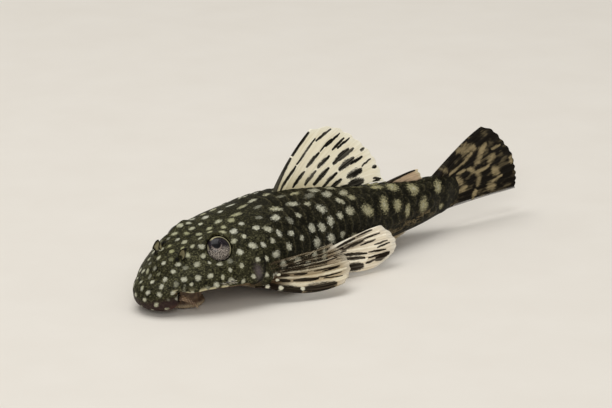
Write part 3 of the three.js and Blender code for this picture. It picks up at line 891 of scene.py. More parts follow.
def skin_shape():
    """The closed skin with the values that its colours need at every point."""
    x, turn = skin_grid()
    p, marks = skin_surface(x, turn)
    out = grid_out(p, True)
    if np.mean(out[..., 2] * (p[..., 2] - widest_at(x))) < 0:
        out = -out
    level = np.minimum(turn, 1 - turn)
    lip = marks["lip"]
    marks["underside"], marks["mouth"] = undersides(x, level, p, out, lip)
    pale_rim = bump((level - PALE_LEVEL) / PALE_SOFT) * (1 - lip)
    marks["pale_rim"] = pale_rim * step(x, *PALE_FROM) * step(x, *PALE_TO)
    keel = bump((level - KEEL_LEVEL) / KEEL_SOFT)
    marks["keel"] = keel * step(x, *KEEL_FROM) * step(x, *KEEL_TO)
    either_side = join(p[..., 0], np.abs(p[..., 1]), p[..., 2])
    marks["mauve"] = bump(np.linalg.norm((either_side - MAUVE_AT) / MAUVE_SIZE, axis=-1))
    marks["crown"] = step(level, *CROWN_FROM)
    marks["along"] = x / BODY_LENGTH
    marks["low"] = step(p[..., 2] - LOW_SLANT * np.abs(p[..., 1]), *LOW_ON_LIP) * lip
    marks["spot"], marks["strength"], marks["tone"] = spot_values(p, spot_frames(p, out, marks))
    return closed_tube(p, **marks)


# Nostril flaps, and the slope of the skin that they stand on
FLAP_TALL = 1.05
FLAP_SIDES = 0.8
FLAP_LEAN = 0.55
FLAP_SUNK = 0.3
FLAP_RADIUS = 0.42
FLAP_OPENS = 0.3
FLAP_BACK = 0.35
FLAP_FORWARD = 0.15
FLAP_HALF = 0.06
FLAP_THINS = 0.6
FLAP_EDGE = (0.72, 0.92)
FLAP_SWEEP = np.radians(80)
SLOPE_BACK = 0.35
SLOPE_OUT = 0.25


def nostril_flap(side):
    """A thin scoop that stands between the two pits of a nostril: part of a cone round the front pit,
    tall in its middle, that leans forward and outward."""
    turn, up = grid(np.linspace(-1, 1, 29), np.linspace(0, 1, 14))
    radius = FLAP_RADIUS * (1 + FLAP_OPENS * up)
    x = NOSTRIL_X - FLAP_BACK + radius * np.cos(FLAP_SWEEP * turn)
    y = NOSTRIL_Y + side * radius * np.sin(FLAP_SWEEP * turn)
    foot = head_height(NOSTRIL_X, NOSTRIL_Y) + SLOPE_BACK * (x - NOSTRIL_X) - SLOPE_OUT * (y - NOSTRIL_Y)
    tall = FLAP_SUNK + FLAP_TALL * (1 - FLAP_SIDES * turn**2)
    x = x - FLAP_FORWARD * up**2
    p = join(x, side * (y + FLAP_LEAN * up**1.4), foot - FLAP_SUNK + tall * up)
    half = FLAP_HALF * (1 - FLAP_THINS * up)
    edge = step(np.maximum(np.abs(turn), up), *FLAP_EDGE)
    return closed_sheet(p, grid_out(p, False), half, spot=NO_SPOT, eye_far=FAR, flap=1.0, flap_edge=edge)


SHARED_MARKS = (
    "along", "crown", "edge", "keel", "mauve", "spot", "strength", "tone", "low", "underside", "mouth",
    "pale_rim", "flap", "flap_edge", "pit", "gill", "eye_far",
)


# Colours of the skin and of its spots, as seen on a screen. The near-black colour for pits, gill slits and
# eye sockets is painted shade.
SKIN_COLOURS = {
    "front": (62, 60, 38), "front_patch": (90, 88, 62), "front_grain": (104, 102, 74),
    "rear": (17, 15, 8), "rear_patch": (42, 39, 27), "rear_grain": (68, 64, 44),
    "crown": (56, 52, 20), "dark_grain": (12, 10, 4), "scale": (11, 10, 4), "fleck": (104, 98, 72),
    "keel": (132, 116, 86), "mauve": (98, 88, 90), "low": (56, 38, 40), "underside": (92, 72, 50),
    "underside_patch": (128, 104, 76), "underside_fleck": (160, 140, 110), "mouth": (84, 58, 50),
    "pale_rim": (206, 198, 160), "flap": (136, 128, 98), "flap_edge": (26, 22, 13), "hole": (10, 8, 6),
}
SPOT_COLOURS = {
    "head": (204, 203, 184), "flank": (216, 215, 197), "tail": (186, 178, 138),
    "front_olive": (156, 154, 88), "rear_olive": (170, 162, 112), "scale": (120, 119, 98),
    "speck": (214, 214, 200),
}


def skin_patterns(f):
    """The shape's marks and the noises that the skin's colours share, by name."""
    marks = {name: f.attribute(name) for name in SHARED_MARKS}
    grain = f.noise(0.3, 3, (1.25, 1, 1), 0.6)
    fine = f.noise(0.15, 2, (1.3, 1, 1), 0.6)
    scales = f.cells(0.21, (1.35, 1, 1))
    rear = f.step(marks["along"], 0.17, 0.42)
    return SimpleNamespace(grain=grain, fine=fine, scales=scales, patch=f.noise(1.6, 3), rear=rear, **marks)


def skin_ground(f, s):
    """Near-black olive, blacker to the rear, with a light and a dark grain, dark scales, flecks on the
    plates' edges, brown streaks along the keel and a mauve patch at the gill."""
    c = palette(SKIN_COLOURS)
    front = f.blend(f.step(s.patch, 0.36, 0.66), c.front, c.front_patch)
    back_half = f.blend(f.step(s.patch, 0.4, 0.66), c.rear, c.rear_patch)
    dark = f.blend(s.rear * 0.9, front, back_half)
    dark = f.blend(s.crown * (1 - s.rear * 0.6) * 0.5, dark, c.crown)
    pale_grain = f.blend(s.rear, c.front_grain, c.rear_grain)
    dark = f.blend(f.step(s.grain, 0.5, 0.68) * (0.66 - s.rear * 0.16), dark, pale_grain)
    dark = f.blend(f.step(s.grain, 0.49, 0.36) * 0.85, dark, c.dark_grain)
    dark = f.blend(f.step(s.scales, 0.32, 0.5) * 0.65, dark, c.scale)
    flecks = f.step(s.edge, 0.35, 0.9) * f.step(s.fine, 0.42, 0.6) * (0.35 + s.rear * 0.3)
    dark = f.blend(flecks, dark, c.fleck)
    streaks = f.step(f.noise(0.42, 2, (7, 1, 1)), 0.5, 0.62) * f.step(s.fine, 0.36, 0.56)
    dark = f.blend(s.keel * streaks * 0.75, dark, c.keel)
    return f.blend(s.mauve * 0.8, dark, c.mauve)


def spot_cream(f, s, ragged):
    """Grey-cream that turns yellower on the tail and olive by each spot's tone, with dark scales and
    pale specks in the middle of a spot."""
    c = palette(SPOT_COLOURS)
    cream = f.blend(f.step(s.along, 0.12, 0.28), c.head, c.flank)
    cream = f.blend(f.step(s.along, 0.5, 0.74), cream, c.tail)
    olive = f.blend(s.rear, c.front_olive, c.rear_olive)
    cream = f.blend(s.tone * (0.25 + s.crown * 0.6), cream, olive)
    cream = f.blend(f.step(s.scales, 0.24, 0.46) * (0.3 + s.rear * 0.22), cream, c.scale)
    specks = f.step(ragged, 0.5, 0.1) * f.step(s.fine, 0.4, 0.6) * 0.5
    return f.blend(specks, cream, c.speck)


def skin_finish():
    """Dark skin with soft spots whose edges are ragged, purple-brown low on the lip, brown underneath,
    with a broken pale edge along the cheek, and painted shade, near black, in pits, gill slits and orbits."""
    f = Finish("pleco_skin", Roughness=0.5, Specular_IOR_Level=0.07)
    s = skin_patterns(f)
    c = palette(SKIN_COLOURS)
    ragged = s.spot + ((s.grain - 0.5) * 1.1 + (s.scales - 0.3) * 0.45) * (0.65 + s.rear * 0.35)
    mask = f.step(ragged, 0.5, 1.24, 1.0, 0.0) * s.strength
    skin = f.blend(mask, skin_ground(f, s), spot_cream(f, s, ragged))
    skin = f.blend(s.low * (1 - mask) * 0.75, skin, c.low)
    brown = f.blend(f.step(s.patch, 0.3, 0.7), c.underside, c.underside_patch)
    brown = f.blend(f.step(s.fine, 0.45, 0.7) * 0.4, brown, c.underside_fleck)
    skin = f.blend(s.underside * 0.9, skin, brown)
    skin = f.blend(s.mouth * 0.8, skin, c.mouth)
    lumps = f.step(f.cells(1.15), 0.54, 0.36)
    skin = f.blend(s.pale_rim * lumps * 0.9, skin, c.pale_rim)
    skin = f.blend(s.flap, skin, f.blend(s.flap_edge, c.flap, c.flap_edge))
    # Painted shade: the nostril pits, the gill slits and the skin round each eye socket are darkened towards
    # near black.
    hole = f.step(s.pit, 0.2, 0.7) + f.step(s.gill, 0.25, 0.9) * 0.7 + f.step(s.eye_far, 1.7, 1.58)
    skin = f.blend(f.held(hole) * 0.92, skin, c.hole)
    relief = s.scales * -0.7 + s.grain * 0.9
    return f.feed(Base_Color=skin, Normal=f.height(relief, 0.06, 0.8))


# Thorns of the cheek: how many, the patch's corners as x and turn, and each one's shape
THORN_COUNT = 34
THORN_FROM = (6.1, 0.205)
THORN_TO = (7.9, 0.252)
THORN_JITTER = 0.15
THORN_LONG = 0.75
THORN_THICK = 0.075
THORN_POINT = 0.008
THORN_SUNK = 0.15
THORN_RISE = 0.8
THORN_SIZE = (0.6, 1.1)
THORN_LIFT = (0.3, 0.75)
THORN_SWAY = 0.3
THORN_COLOURS = {"foot": (38, 32, 22), "tip": (206, 200, 178)}


def tube_rings(line, across, over, radius, angle):
    """Rings round a line's points: point + radius (cos a across + sin a over)."""
    spread = np.cos(angle)[:, None] * across[..., None, :] + np.sin(angle)[:, None] * over[..., None, :]
    return line[:, None] + radius[..., None] * spread


def thorn_patch(side):
    """A patch of small thorns low on the cheek. Each is a thin cone that rises from the skin and
    bends back along it."""
    x = np.linspace(THORN_FROM[0], THORN_TO[0], THORN_COUNT)
    x = x + dice.uniform(-THORN_JITTER, THORN_JITTER, THORN_COUNT)
    level = dice.uniform(THORN_FROM[1], THORN_TO[1], THORN_COUNT)
    turn = level if side < 0 else 1 - level
    foot, out = section(x, turn), section_out(x, turn)
    long = THORN_LONG * dice.uniform(*THORN_SIZE, THORN_COUNT)
    lift = dice.uniform(*THORN_LIFT, THORN_COUNT)
    sway = dice.uniform(-THORN_SWAY, THORN_SWAY, THORN_COUNT)
    s = np.linspace(0, 1, 8)
    radius = THORN_THICK * (1 - s) ** 0.8 + THORN_POINT
    shapes = []
    for i in range(THORN_COUNT):
        up = (lift[i] + THORN_SUNK) * long[i] * (s * (2 - s)) * THORN_RISE - THORN_SUNK
        line = foot[i] + out[i] * up[:, None] + np.array([1.0, 0, sway[i]]) * (long[i] * s**1.2)[:, None]
        along = unit(np.gradient(line, axis=0))
        across = unit(np.cross(along, out[i]))
        rings = tube_rings(line, across, np.cross(across, along), radius[:, None], turns(7))
        shapes.append(closed_tube(rings, tip=s[:, None]))
    return together(shapes)


def thorn_finish():
    """Dark brown at the foot and pale horn at the tip."""
    f = Finish("thorn_horn", Roughness=0.25, Coat_Weight=0.4)
    c = palette(THORN_COLOURS)
    tip = f.attribute("tip") + (f.noise(0.3, 2) - 0.5) * 0.5
    return f.feed(Base_Color=f.blend(f.step(tip, 0.25, 0.85), c.foot, c.tip))


# Mouth disc and barbels
DISC_X = 5.7
DISC_SIZE = (2.7, 2.8)
disc_radius = profile([0, 0.02], [0.42, 0.8], [0.56, 0.96], [0.64, 1], [0.7, 0.97], [0.78, 0.87],
                      [0.88, 0.88], [1, 1.15])
disc_height = profile([0, 0.12], [0.28, 0.03], [0.42, 0.02], [0.56, 0.12], [0.64, 0.4], [0.7, 0.66],
                      [0.78, 1.2], [0.88, 2.2], [1, 3.15])
KNOB_PITCH = 0.34
KNOB_TALL = 0.09
KNOBS_TO = 0.62
KNOBS_FADE = 0.1
FRINGE_COUNT = 52
FRINGE_AT = 0.63
FRINGE_WIDE = 0.085
FRINGE_DEEP = 0.035


def mouth_disc():
    """The round lower lip: an outline turned round an upright axis and stretched to an oval, studded
    with rows of small knobs underneath and notched into a fringe at its edge."""
    t, angle = grid(np.linspace(0, 1, 96), turns(260))
    at_rim = bump((t - FRINGE_AT) / FRINGE_WIDE)
    radius = disc_radius(t) * (1 - FRINGE_DEEP * at_rim * (0.5 + 0.5 * np.cos(FRINGE_COUNT * angle)))
    x = DISC_X + DISC_SIZE[0] * radius * np.cos(angle)
    y = DISC_SIZE[1] * radius * np.sin(angle)
    row = 2 * np.pi * x / KNOB_PITCH
    knob = (0.5 + 0.5 * np.cos(row)) * (0.5 + 0.5 * np.cos(2 * np.pi * y / KNOB_PITCH + row / 2))
    z = disc_height(t) + KNOB_TALL * (1 - knob) * smooth((KNOBS_TO - t) / KNOBS_FADE)
    return closed_tube(join(x, y, z), knob=knob * (t < KNOBS_TO), rim=at_rim)


# Barbels: root and tip of the right one, and its radius there
BARBEL_ROOT = np.array([2.75, 3.5, 2.0])
BARBEL_TIP = np.array([4.7, 4.0, 0.6])
BARBEL_SUNK = 0.5
BARBEL_BOW = 0.2
BARBEL_THICK = (0.36, 0.15)
BARBEL_ROUND = 0.08
BARBEL_KNOB = 0.12
BARBEL_RINGS = 34
KNOBS_AROUND = 5


def barbel(side):
    """A short fleshy feeler at the mouth's corner: a tapered tube on an arc, with a rounded tip and
    fine rings of knobs."""
    s = np.linspace(0, 1, 40)
    angle = turns(24)
    root, tip = mirrored(BARBEL_ROOT, side), mirrored(BARBEL_TIP, side)
    way = unit(tip - root)
    across = unit(np.cross(way, [0, 0, 1.0]))
    over = np.cross(across, way)
    line = root - way * BARBEL_SUNK + (tip - root + way * BARBEL_SUNK) * s[:, None]
    line = line + over * (BARBEL_BOW * 4 * s * (1 - s))[:, None]
    radius = mix(*BARBEL_THICK, s) * np.sqrt(np.clip((1 - s) / BARBEL_ROUND, 0.02, 1))
    knobs = np.sin(BARBEL_RINGS * s)[:, None] * np.cos(KNOBS_AROUND * angle)
    p = tube_rings(line, across, over, radius[:, None] * (1 + BARBEL_KNOB * knobs), angle)
    return closed_tube(p, knob=(1 + knobs) / 2, rim=s[:, None] ** 3)


LIP_COLOURS = {
    "brown": (86, 66, 50), "patch": (122, 100, 76), "knob": (176, 150, 122), "rim": (206, 186, 152),
    "speck": (60, 42, 36),
}


def lip_finish():
    """Soft brown lip skin with pale knobs and a pale fringe."""
    f = Finish("lip_skin", Roughness=0.45, Specular_IOR_Level=0.35)
    c = palette(LIP_COLOURS)
    patch = f.noise(0.7, 3)
    fine = f.noise(0.12, 2)
    tint = f.blend(f.step(patch, 0.35, 0.7), c.brown, c.patch)
    tint = f.blend(f.step(f.attribute("knob"), 0.45, 0.95) * 0.7, tint, c.knob)
    tint = f.blend(f.step(f.attribute("rim"), 0.3, 1.05) * 0.55, tint, c.rim)
    tint = f.blend(f.step(fine, 0.55, 0.8) * 0.4, tint, c.speck)
    return f.feed(Base_Color=tint, Normal=f.height(fine, 0.03, 0.5))


# Fins

# How thick they are, the grid over them, and their ripple
MEMBRANE = 0.12
MARGIN = 0.06
RAY_THICK = 0.14
RAYS_THIN = 0.7
SPINE_THINS = 0.55
SPINE_EDGE = 1.6
SPINE_ENDS = 0.9
ROOT_POWER = 5
ROWS = 96
ROW_CROWD = 0.95
RIPPLE = 0.05
RIPPLE_ALONG = 9
RIPPLE_ACROSS = 2

# Each fin's rays, the grid's columns for each, how far the margin is drawn in between them, how many
# rays wide the spine is, and how thick the spine and the root stand
Fin = namedtuple("Fin", "rays per_ray scallop spine_wide spine_thick root_thick")
FINS = {
    "dorsal": Fin(9, 16, 0.02, 0.16, 0.26, 0.35),
    "caudal": Fin(12, 14, 0.012, 0.16, 0.3, 1.2),
    "adipose": Fin(3, 16, 0.03, 0.16, 0.3, 0.5),
    "anal": Fin(4, 16, 0.03, 0.16, 0.25, 0.4),
    "pectoral": Fin(7, 16, 0.015, 0.6, 0.5, 0.8),
    "pelvic": Fin(7, 16, 0.015, 0.6, 0.5, 0.8),
}


def fan(fin, root, tip, bend):
    """The middle surface of a fin: root + (tip - root) v + bend 4v(1 - v) for rays f from 0 to 1, with
    the margin drawn in between the rays, and a ripple. Returns points, the place counted in rays, and
    v."""
    last = fin.rays - 1
    place, v = grid(np.linspace(0, last, last * fin.per_ray + 1), np.linspace(0, 1, ROWS) ** ROW_CROWD)
    f = place / last
    drawn = v * (1 - fin.scallop * np.sin(np.pi * place) ** 2)
    a, b, c = root(f), tip(f), bend(f)
    p = a + (b - a) * drawn[..., None] + c * (4 * drawn * (1 - drawn))[..., None]
    ripple = RIPPLE * np.sin(np.pi * place) * v * np.sin(RIPPLE_ALONG * v + RIPPLE_ACROSS * place)
    return p + grid_out(p, False) * ripple[..., None], place, v


# Rays, in shares of the distance between them. They fork between the shares of their length given.
RAY_HALF = 0.13
RAY_NARROWS = 0.45
BRANCH_NARROWS = 0.35
FIRST_FORK = (0.42, 0.72)
SECOND_FORK = (0.74, 0.94)
BRANCH_SPREAD = 0.17
BRANCH_OPENS = 0.25
TWIG_SPREAD = 0.08


def ray_ridges(place, v):
    """How much of a place is ray, 0 to 1: bells over each ray, which parts in two at the first fork
    and again at the second."""
    off = place - np.round(place)
    first, second = step(v, *FIRST_FORK), step(v, *SECOND_FORK)
    width = RAY_HALF * (1 - RAY_NARROWS * v) * (1 - BRANCH_NARROWS * first)
    total = 0
    for branch in (-1, 1):
        for twig in (-1, 1):
            shift = BRANCH_SPREAD * (1 + BRANCH_OPENS * v) * branch * first + TWIG_SPREAD * twig * second
            total = np.maximum(total, bump((off - shift) / width))
    return total


# A stroke's width at its ends as a share of its middle's, its points, and the depth far from any
STROKE_END = 0.6
STROKE_POINTS = 7
NO_STROKE = -2.0


def strokes(fan_grid, marks):
    """How deep points lie in rounded strokes that follow the fin: 1 on a stroke's middle line, 0 at
    its edge and less outside. A stroke is two ends, each a ray and a share of its length, and a
    width in millimetres, which narrows to the ends."""
    p, place, v = fan_grid
    deep = np.full(place.shape, NO_STROKE)
    share = np.linspace(0, 1, STROKE_POINTS)
    for from_ray, from_v, to_ray, to_v, wide in marks:
        half = wide / 2 * mix(STROKE_END, 1, 4 * share * (1 - share))
        ray = mix(from_ray, to_ray, share) / place.max() * (len(p) - 1)
        row = np.searchsorted(v[0], mix(from_v, to_v, share))
        line = p[np.round(ray).astype(int), np.minimum(row, p.shape[1] - 1)]
        for i in range(STROKE_POINTS - 1):
            a, way = line[i], line[i + 1] - line[i]
            part = np.clip(((p - a) @ way) / max(way @ way, 1e-6), 0, 1)
            far = np.linalg.norm(p - a - part[..., None] * way, axis=-1)
            deep = np.maximum(deep, 1 - far / mix(half[i], half[i + 1], part))
    return deep


def fin_shape(name, fan_grid):
    """A closed thin fin: membrane, ray ridges, a stout first spine and a thicker root. It carries its
    strokes and how clear its membrane is."""
    fin = FINS[name]
    p, place, v = fan_grid
    spine = step(place, SPINE_EDGE * fin.spine_wide, fin.spine_wide) * (1 - SPINE_THINS * v)
    ridge = np.where(place < 0.5, spine, ray_ridges(place, v))
    rays = RAY_THICK * ridge * (1 - RAYS_THIN * v) * (place > fin.spine_wide)
    raised = np.maximum(rays, fin.spine_thick * spine * (place < SPINE_ENDS))
    thick = mix(MEMBRANE, MARGIN, v**2) + raised + fin.root_thick * (1 - v) ** ROOT_POWER
    values = {kind: strokes(fan_grid, FIN_MARKS[name].get(kind, ())) for kind in ("dark", "light", "pale")}
    values["clear"] = CLEAR[name](place, v) if name in CLEAR else 0.0
    return closed_sheet(p, grid_out(p, False), thick / 2, ridge=ridge, along=v, place=place, **values)


# Where the fins stand


def midline(root_x, root_z, angle, length, bow, sway):
    """Root, tip and bend of the rays of a fin on the midline, as functions of f: the tip lies at a
    length and angle above the axis, swayed sideways, and the ray bows square to that."""
    def root(f):
        return join(root_x(f), 0 * f, root_z(f))

    def tip(f):
        turn = np.radians(angle(f))
        return root(f) + join(np.cos(turn) * length(f), sway * np.sin(np.pi * f), np.sin(turn) * length(f))

    def bend(f):
        turn = np.radians(angle(f))
        return join(-np.sin(turn) * bow(f), 0 * f, np.cos(turn) * bow(f))

    return root, tip, bend


# Root, tip and bend of the first, middle and last ray of the paired fins, on the right side
PAIRED = {
    "pectoral": {
        "first": [(12, 6.3, 2.3), (22.6, 11, 1.5), (0, 1, -0.8)],
        "middle": [(12.2, 6.6, 3.5), (24.8, 9.4, 3.2), (0, 0.8, -0.3)],
        "last": [(12.4, 6.8, 4.7), (24, 6.8, 5.2), (0, 1.5, 0.5)],
    },
    "pelvic": {
        "first": [(21.9, 4.4, 1.1), (31.2, 6.8, 0.6), (0, 0.9, -0.15)],
        "middle": [(22.3, 5, 2.1), (34.6, 6.9, 2.6), (0, 0.9, 0.3)],
        "last": [(22.7, 5.6, 3.4), (33.8, 4.9, 4.9), (0, 1.3, 1.1)],
    },
}


def paired(name, side):
    """Root, tip and bend of a paired fin's rays: the parabola through its first, middle and last ray."""
    def through(i):
        a, b, c = (mirrored(PAIRED[name][key][i], side) for key in ("first", "middle", "last"))

        def curve(f):
            f = f[..., None]
            return a * (1 - f) * (1 - 2 * f) + b * 4 * f * (1 - f) + c * f * (2 * f - 1)

        return curve

    return through(0), through(1), through(2)


dorsal_x = profile([0, 20.2], [1, 31.6])
adipose_x = profile([0, 37.6], [1, 43.2])
anal_x = profile([0, 35], [1, 38.2])


def constant(number):
    """A curve that gives the same number for every ray."""
    return lambda f: 0 * f + number


FANS = {
    "dorsal": midline(dorsal_x, lambda f: back(dorsal_x(f)) - 0.7, profile([0, 50.5], [0.88, 10], [1, 0.5]),
                      profile([0, 9.8], [0.2, 10.8], [0.6, 9.7], [1, 6.9]),
                      profile([0, 0.55], [0.3, 0.4], [1, 0.3]), 0.3),
    "caudal": midline(constant(BODY_LENGTH - 0.6), profile([0, 7.1], [1, 2.75]),
                      profile([0, 35], [0.1, 28], [0.25, 19.5], [0.5, 10], [0.75, 4.7], [1, 1.8]),
                      profile([0, 9.6], [0.1, 11.1], [0.25, 12.4], [0.5, 14], [0.75, 14.3], [1, 13.8]),
                      lambda f: 0.5 * (1 - smooth(3 * f)), 0.5),
    "adipose": midline(adipose_x, lambda f: back(adipose_x(f)) - 0.5, profile([0, 10.5], [1, 12]),
                       profile([0, 6.7], [1, 1.9]), constant(0.25), 0),
    "anal": midline(anal_x, lambda f: belly(anal_x(f)) + 0.1, profile([0, -6], [1, -1]),
                    profile([0, 5.6], [1, 4.2]), constant(0), 0),
}

# Strokes of the fins: ray and share of its length at both ends, and width in millimetres.
# On the dorsal fin they are dashes on the rays, larger to the rear.
DORSAL_DARK = [
    (0, -0.1, 0, 0.54, 0.5), (0, 0.585, 0.06, 0.93, 0.55),
    (0.6, 0.08, 0.9, 0.39, 0.46), (0.9, 0.42, 0.95, 0.79, 0.42), (1.1, 0.76, 1.5, 0.96, 0.42),
    (1.8, 0.1, 2, 0.31, 0.5), (1.95, 0.38, 2.05, 0.59, 0.55), (2.05, 0.62, 2.1, 0.82, 0.28),
    (2.2, 0.71, 2.3, 0.94, 0.36), (2.95, 0.13, 3, 0.34, 0.56), (2.95, 0.4, 3.05, 0.59, 0.68),
    (2.9, 0.69, 2.9, 0.9, 0.42), (3.1, 0.74, 3.2, 0.94, 0.36), (3.9, 0.15, 3.95, 0.42, 0.64),
    (3.95, 0.53, 3.85, 0.8, 0.72), (4.1, 0.61, 4.1, 0.85, 0.55), (5.05, 0.1, 5, 0.39, 0.6),
    (4.9, 0.49, 4.9, 0.73, 0.88), (5.2, 0.65, 5.25, 0.84, 0.52), (4.65, 0.92, 4.7, 0.97, 0.42),
    (6.1, 0.08, 6.05, 0.31, 0.6), (6.2, 0.44, 6.4, 0.67, 1.1), (6.05, 0.73, 5.8, 0.93, 0.28),
    (7.4, 0.28, 7.55, 0.55, 1.25), (6.6, 0.9, 6.65, 0.96, 0.52), (7.6, 0.8, 7.75, 0.95, 0.32),
    (7.9, 0.75, 7.9, 0.9, 0.28), (7, 0.04, 7.3, 0.25, 0.6),
]
# On the tail fin light blotches stand on a dark ground
CAUDAL_LIGHT = [
    (0.3, 0.5, 1.6, 0.66, 1.2), (0.3, 0.65, 0.9, 0.5, 0.8), (1.9, 0.59, 2.4, 0.45, 0.7),
    (2.4, 0.47, 2.3, 0.22, 0.5), (0.2, 0.16, 1.4, 0.2, 0.8), (2.1, 0.79, 2.8, 0.64, 0.9),
    (3, 0.66, 3.5, 0.58, 1), (3.9, 0.8, 4.6, 0.72, 1.1), (3.1, 0.82, 3.2, 0.93, 0.5),
    (3.8, 0.46, 5, 0.53, 0.7), (5, 0.53, 5.2, 0.66, 0.6), (5.2, 0.64, 4.8, 0.73, 0.55),
    (5.2, 0.55, 6.8, 0.56, 0.95), (6.8, 0.56, 7.8, 0.52, 0.8), (8.6, 0.5, 11, 0.47, 0.65),
    (5.8, 0.74, 6.9, 0.78, 1.15), (7.6, 0.83, 8.2, 0.7, 0.5), (4.4, 0.28, 5.4, 0.34, 1.1),
    (3.2, 0.31, 3.6, 0.43, 0.5), (7, 0.38, 7.4, 0.28, 0.75), (5.3, 0.98, 6.2, 0.96, 0.7),
    (9.6, 0.12, 9.6, 0.18, 1), (8.9, 0.66, 9.3, 0.72, 1.3),
]
# The pectoral fin: dashes along its rays, a broad dark band on its spine, and cream between
PECTORAL_DARK = [
    (0.3, -0.1, 0.34, 0.44, 1.2), (0.4, 0.5, 0.5, 0.84, 1.3),
    (2.05, 0.2, 1.95, 0.31, 0.42), (2, 0.35, 1.95, 0.61, 0.45), (2.1, 0.62, 2.05, 0.88, 0.17),
    (1.8, 0.68, 1.45, 0.91, 0.2), (3.1, 0.2, 2.95, 0.3, 0.34), (3, 0.35, 3, 0.49, 0.36),
    (3.15, 0.57, 3.05, 0.87, 0.17), (2.9, 0.66, 2.9, 0.86, 0.15), (3.85, 0.22, 4.05, 0.5, 0.22),
    (4.05, 0.5, 4.2, 0.88, 0.18), (5, 0.3, 5.1, 0.8, 0.15), (4.6, 0.2, 4.5, 0.6, 0.13),
]
PECTORAL_LIGHT = [
    (1.15, 0.1, 1.1, 0.95, 0.75), (2.5, 0.15, 2.4, 0.95, 0.32),
    (3.5, 0.18, 3.4, 0.95, 0.22), (4.4, 0.3, 4.3, 0.85, 0.14), (3, 0.1, 3.05, 0.17, 0.4),
    (3.9, 0.16, 4, 0.24, 0.3), (4.9, 0.2, 5, 0.28, 0.32), (5.1, 0.36, 5.2, 0.46, 0.18),
    (5.7, 0.3, 5.8, 0.4, 0.2), (5.6, 0.52, 5.8, 0.64, 0.15), (6, 0.7, 6, 0.88, 0.1),
]
PECTORAL_PALE = [
    (0.42, 0.1, 0.42, 0.105, 0.6), (0.42, 0.23, 0.44, 0.24, 0.66), (0.45, 0.46, 0.5, 0.47, 0.6),
    (2.1, 0.18, 2.1, 0.185, 0.42), (3.3, 0.18, 3.3, 0.2, 0.4),
]
PELVIC_DARK = [
    (5.7, 0.2, 5.7, 0.47, 0.4), (5.8, 0.5, 5.8, 0.75, 0.28), (4.8, 0.3, 5, 0.55, 0.44),
    (5.15, 0.56, 5.2, 0.82, 0.22), (4.5, 0.52, 4.6, 0.72, 0.28), (4.1, 0.2, 3, 0.59, 0.42),
    (3.1, 0.61, 2.9, 0.84, 0.24), (3, 0.3, 2.4, 0.59, 0.5), (2.2, 0.64, 2.3, 0.92, 0.26),
    (1, 0.4, 1, 0.63, 1.05), (1.3, 0.67, 1.6, 0.77, 0.34), (1.6, 0.78, 2.1, 0.91, 0.8),
    (4, 0.68, 4.05, 0.87, 0.22), (3.45, 0.73, 3.7, 0.9, 0.26), (5.2, 0.15, 5.1, 0.3, 0.32),
    (3.4, 0.24, 2.9, 0.4, 0.3), (4.6, 0.12, 4.4, 0.34, 0.26),
]
PELVIC_LIGHT = [
    (6, 0.05, 6, 0.95, 0.25), (5.4, 0.2, 5.45, 0.85, 0.2), (4.6, 0.25, 3.9, 0.56, 0.22),
    (3.9, 0.56, 3.55, 0.85, 0.25), (3.6, 0.33, 1.9, 0.86, 0.2), (2.3, 0.38, 2.05, 0.63, 0.28),
    (1.9, 0.55, 1.9, 0.62, 0.4), (4.9, 0.58, 4.9, 0.9, 0.25),
]
ADIPOSE_DARK = [(0, -0.1, 0, 0.9, 0.55)]

FIN_MARKS = {
    "dorsal": {"dark": DORSAL_DARK},
    "caudal": {"light": CAUDAL_LIGHT},
    "adipose": {"dark": ADIPOSE_DARK},
    "anal": {},
    "pectoral": {"dark": PECTORAL_DARK, "light": PECTORAL_LIGHT, "pale": PECTORAL_PALE},
    "pelvic": {"dark": PELVIC_DARK, "light": PELVIC_LIGHT},
}


def clear_margin(v):
    """How clear a paired fin is near its margin."""
    return 0.35 * step(v, 0.87, 1)


# How clear a membrane is: along the tail fin's lower edge, over the pectoral fin's inner rays, and
# near the body over the pelvic fin's upper rays. Both paired fins have a clear margin too.
CLEAR = {
    "caudal": lambda place, v: 0.8 * step(place, 10.4, 10.9),
    "pectoral": lambda place, v: np.maximum(0.85 * step(place, 2.4, 4.2), clear_margin(v)),
    "pelvic": lambda place, v: np.maximum(0.7 * step(place, 3.9, 5.3) * step(v, 0.8, 0.4), clear_margin(v)),
}

# Colours of the fins, as seen on a screen, and of the pale spots on them
FIN_SPOT = (204, 200, 178)
FIN_COLOURS = {
    "cream_fin": {
        "membrane": (240, 233, 209), "root": (206, 195, 158), "ray": (248, 243, 224),
        "light": (246, 240, 220), "dark": (13, 10, 4), "margin": (244, 240, 222),
    },
    "pectoral_fin": {
        "membrane": (182, 163, 130), "root": (62, 46, 28), "ray": (186, 170, 140),
        "light": (216, 206, 180), "dark": (18, 10, 3), "margin": (216, 206, 184),
    },
    "pelvic_fin": {
        "membrane": (232, 220, 196), "root": (122, 96, 64), "ray": (238, 228, 206),
        "light": (246, 238, 218), "dark": (26, 16, 6), "margin": (240, 234, 218),
    },
    "pink_fin": {
        "membrane": (214, 188, 156), "root": (88, 64, 44), "ray": (204, 178, 146),
        "light": (236, 220, 186), "dark": (20, 14, 7), "margin": (232, 220, 184),
    },
    "tail_fin": {
        "membrane": (17, 12, 5), "root": (24, 18, 9), "ray": (11, 8, 3),
        "light": (164, 148, 112), "dark": (6, 4, 1), "margin": (20, 15, 7),
    },
}


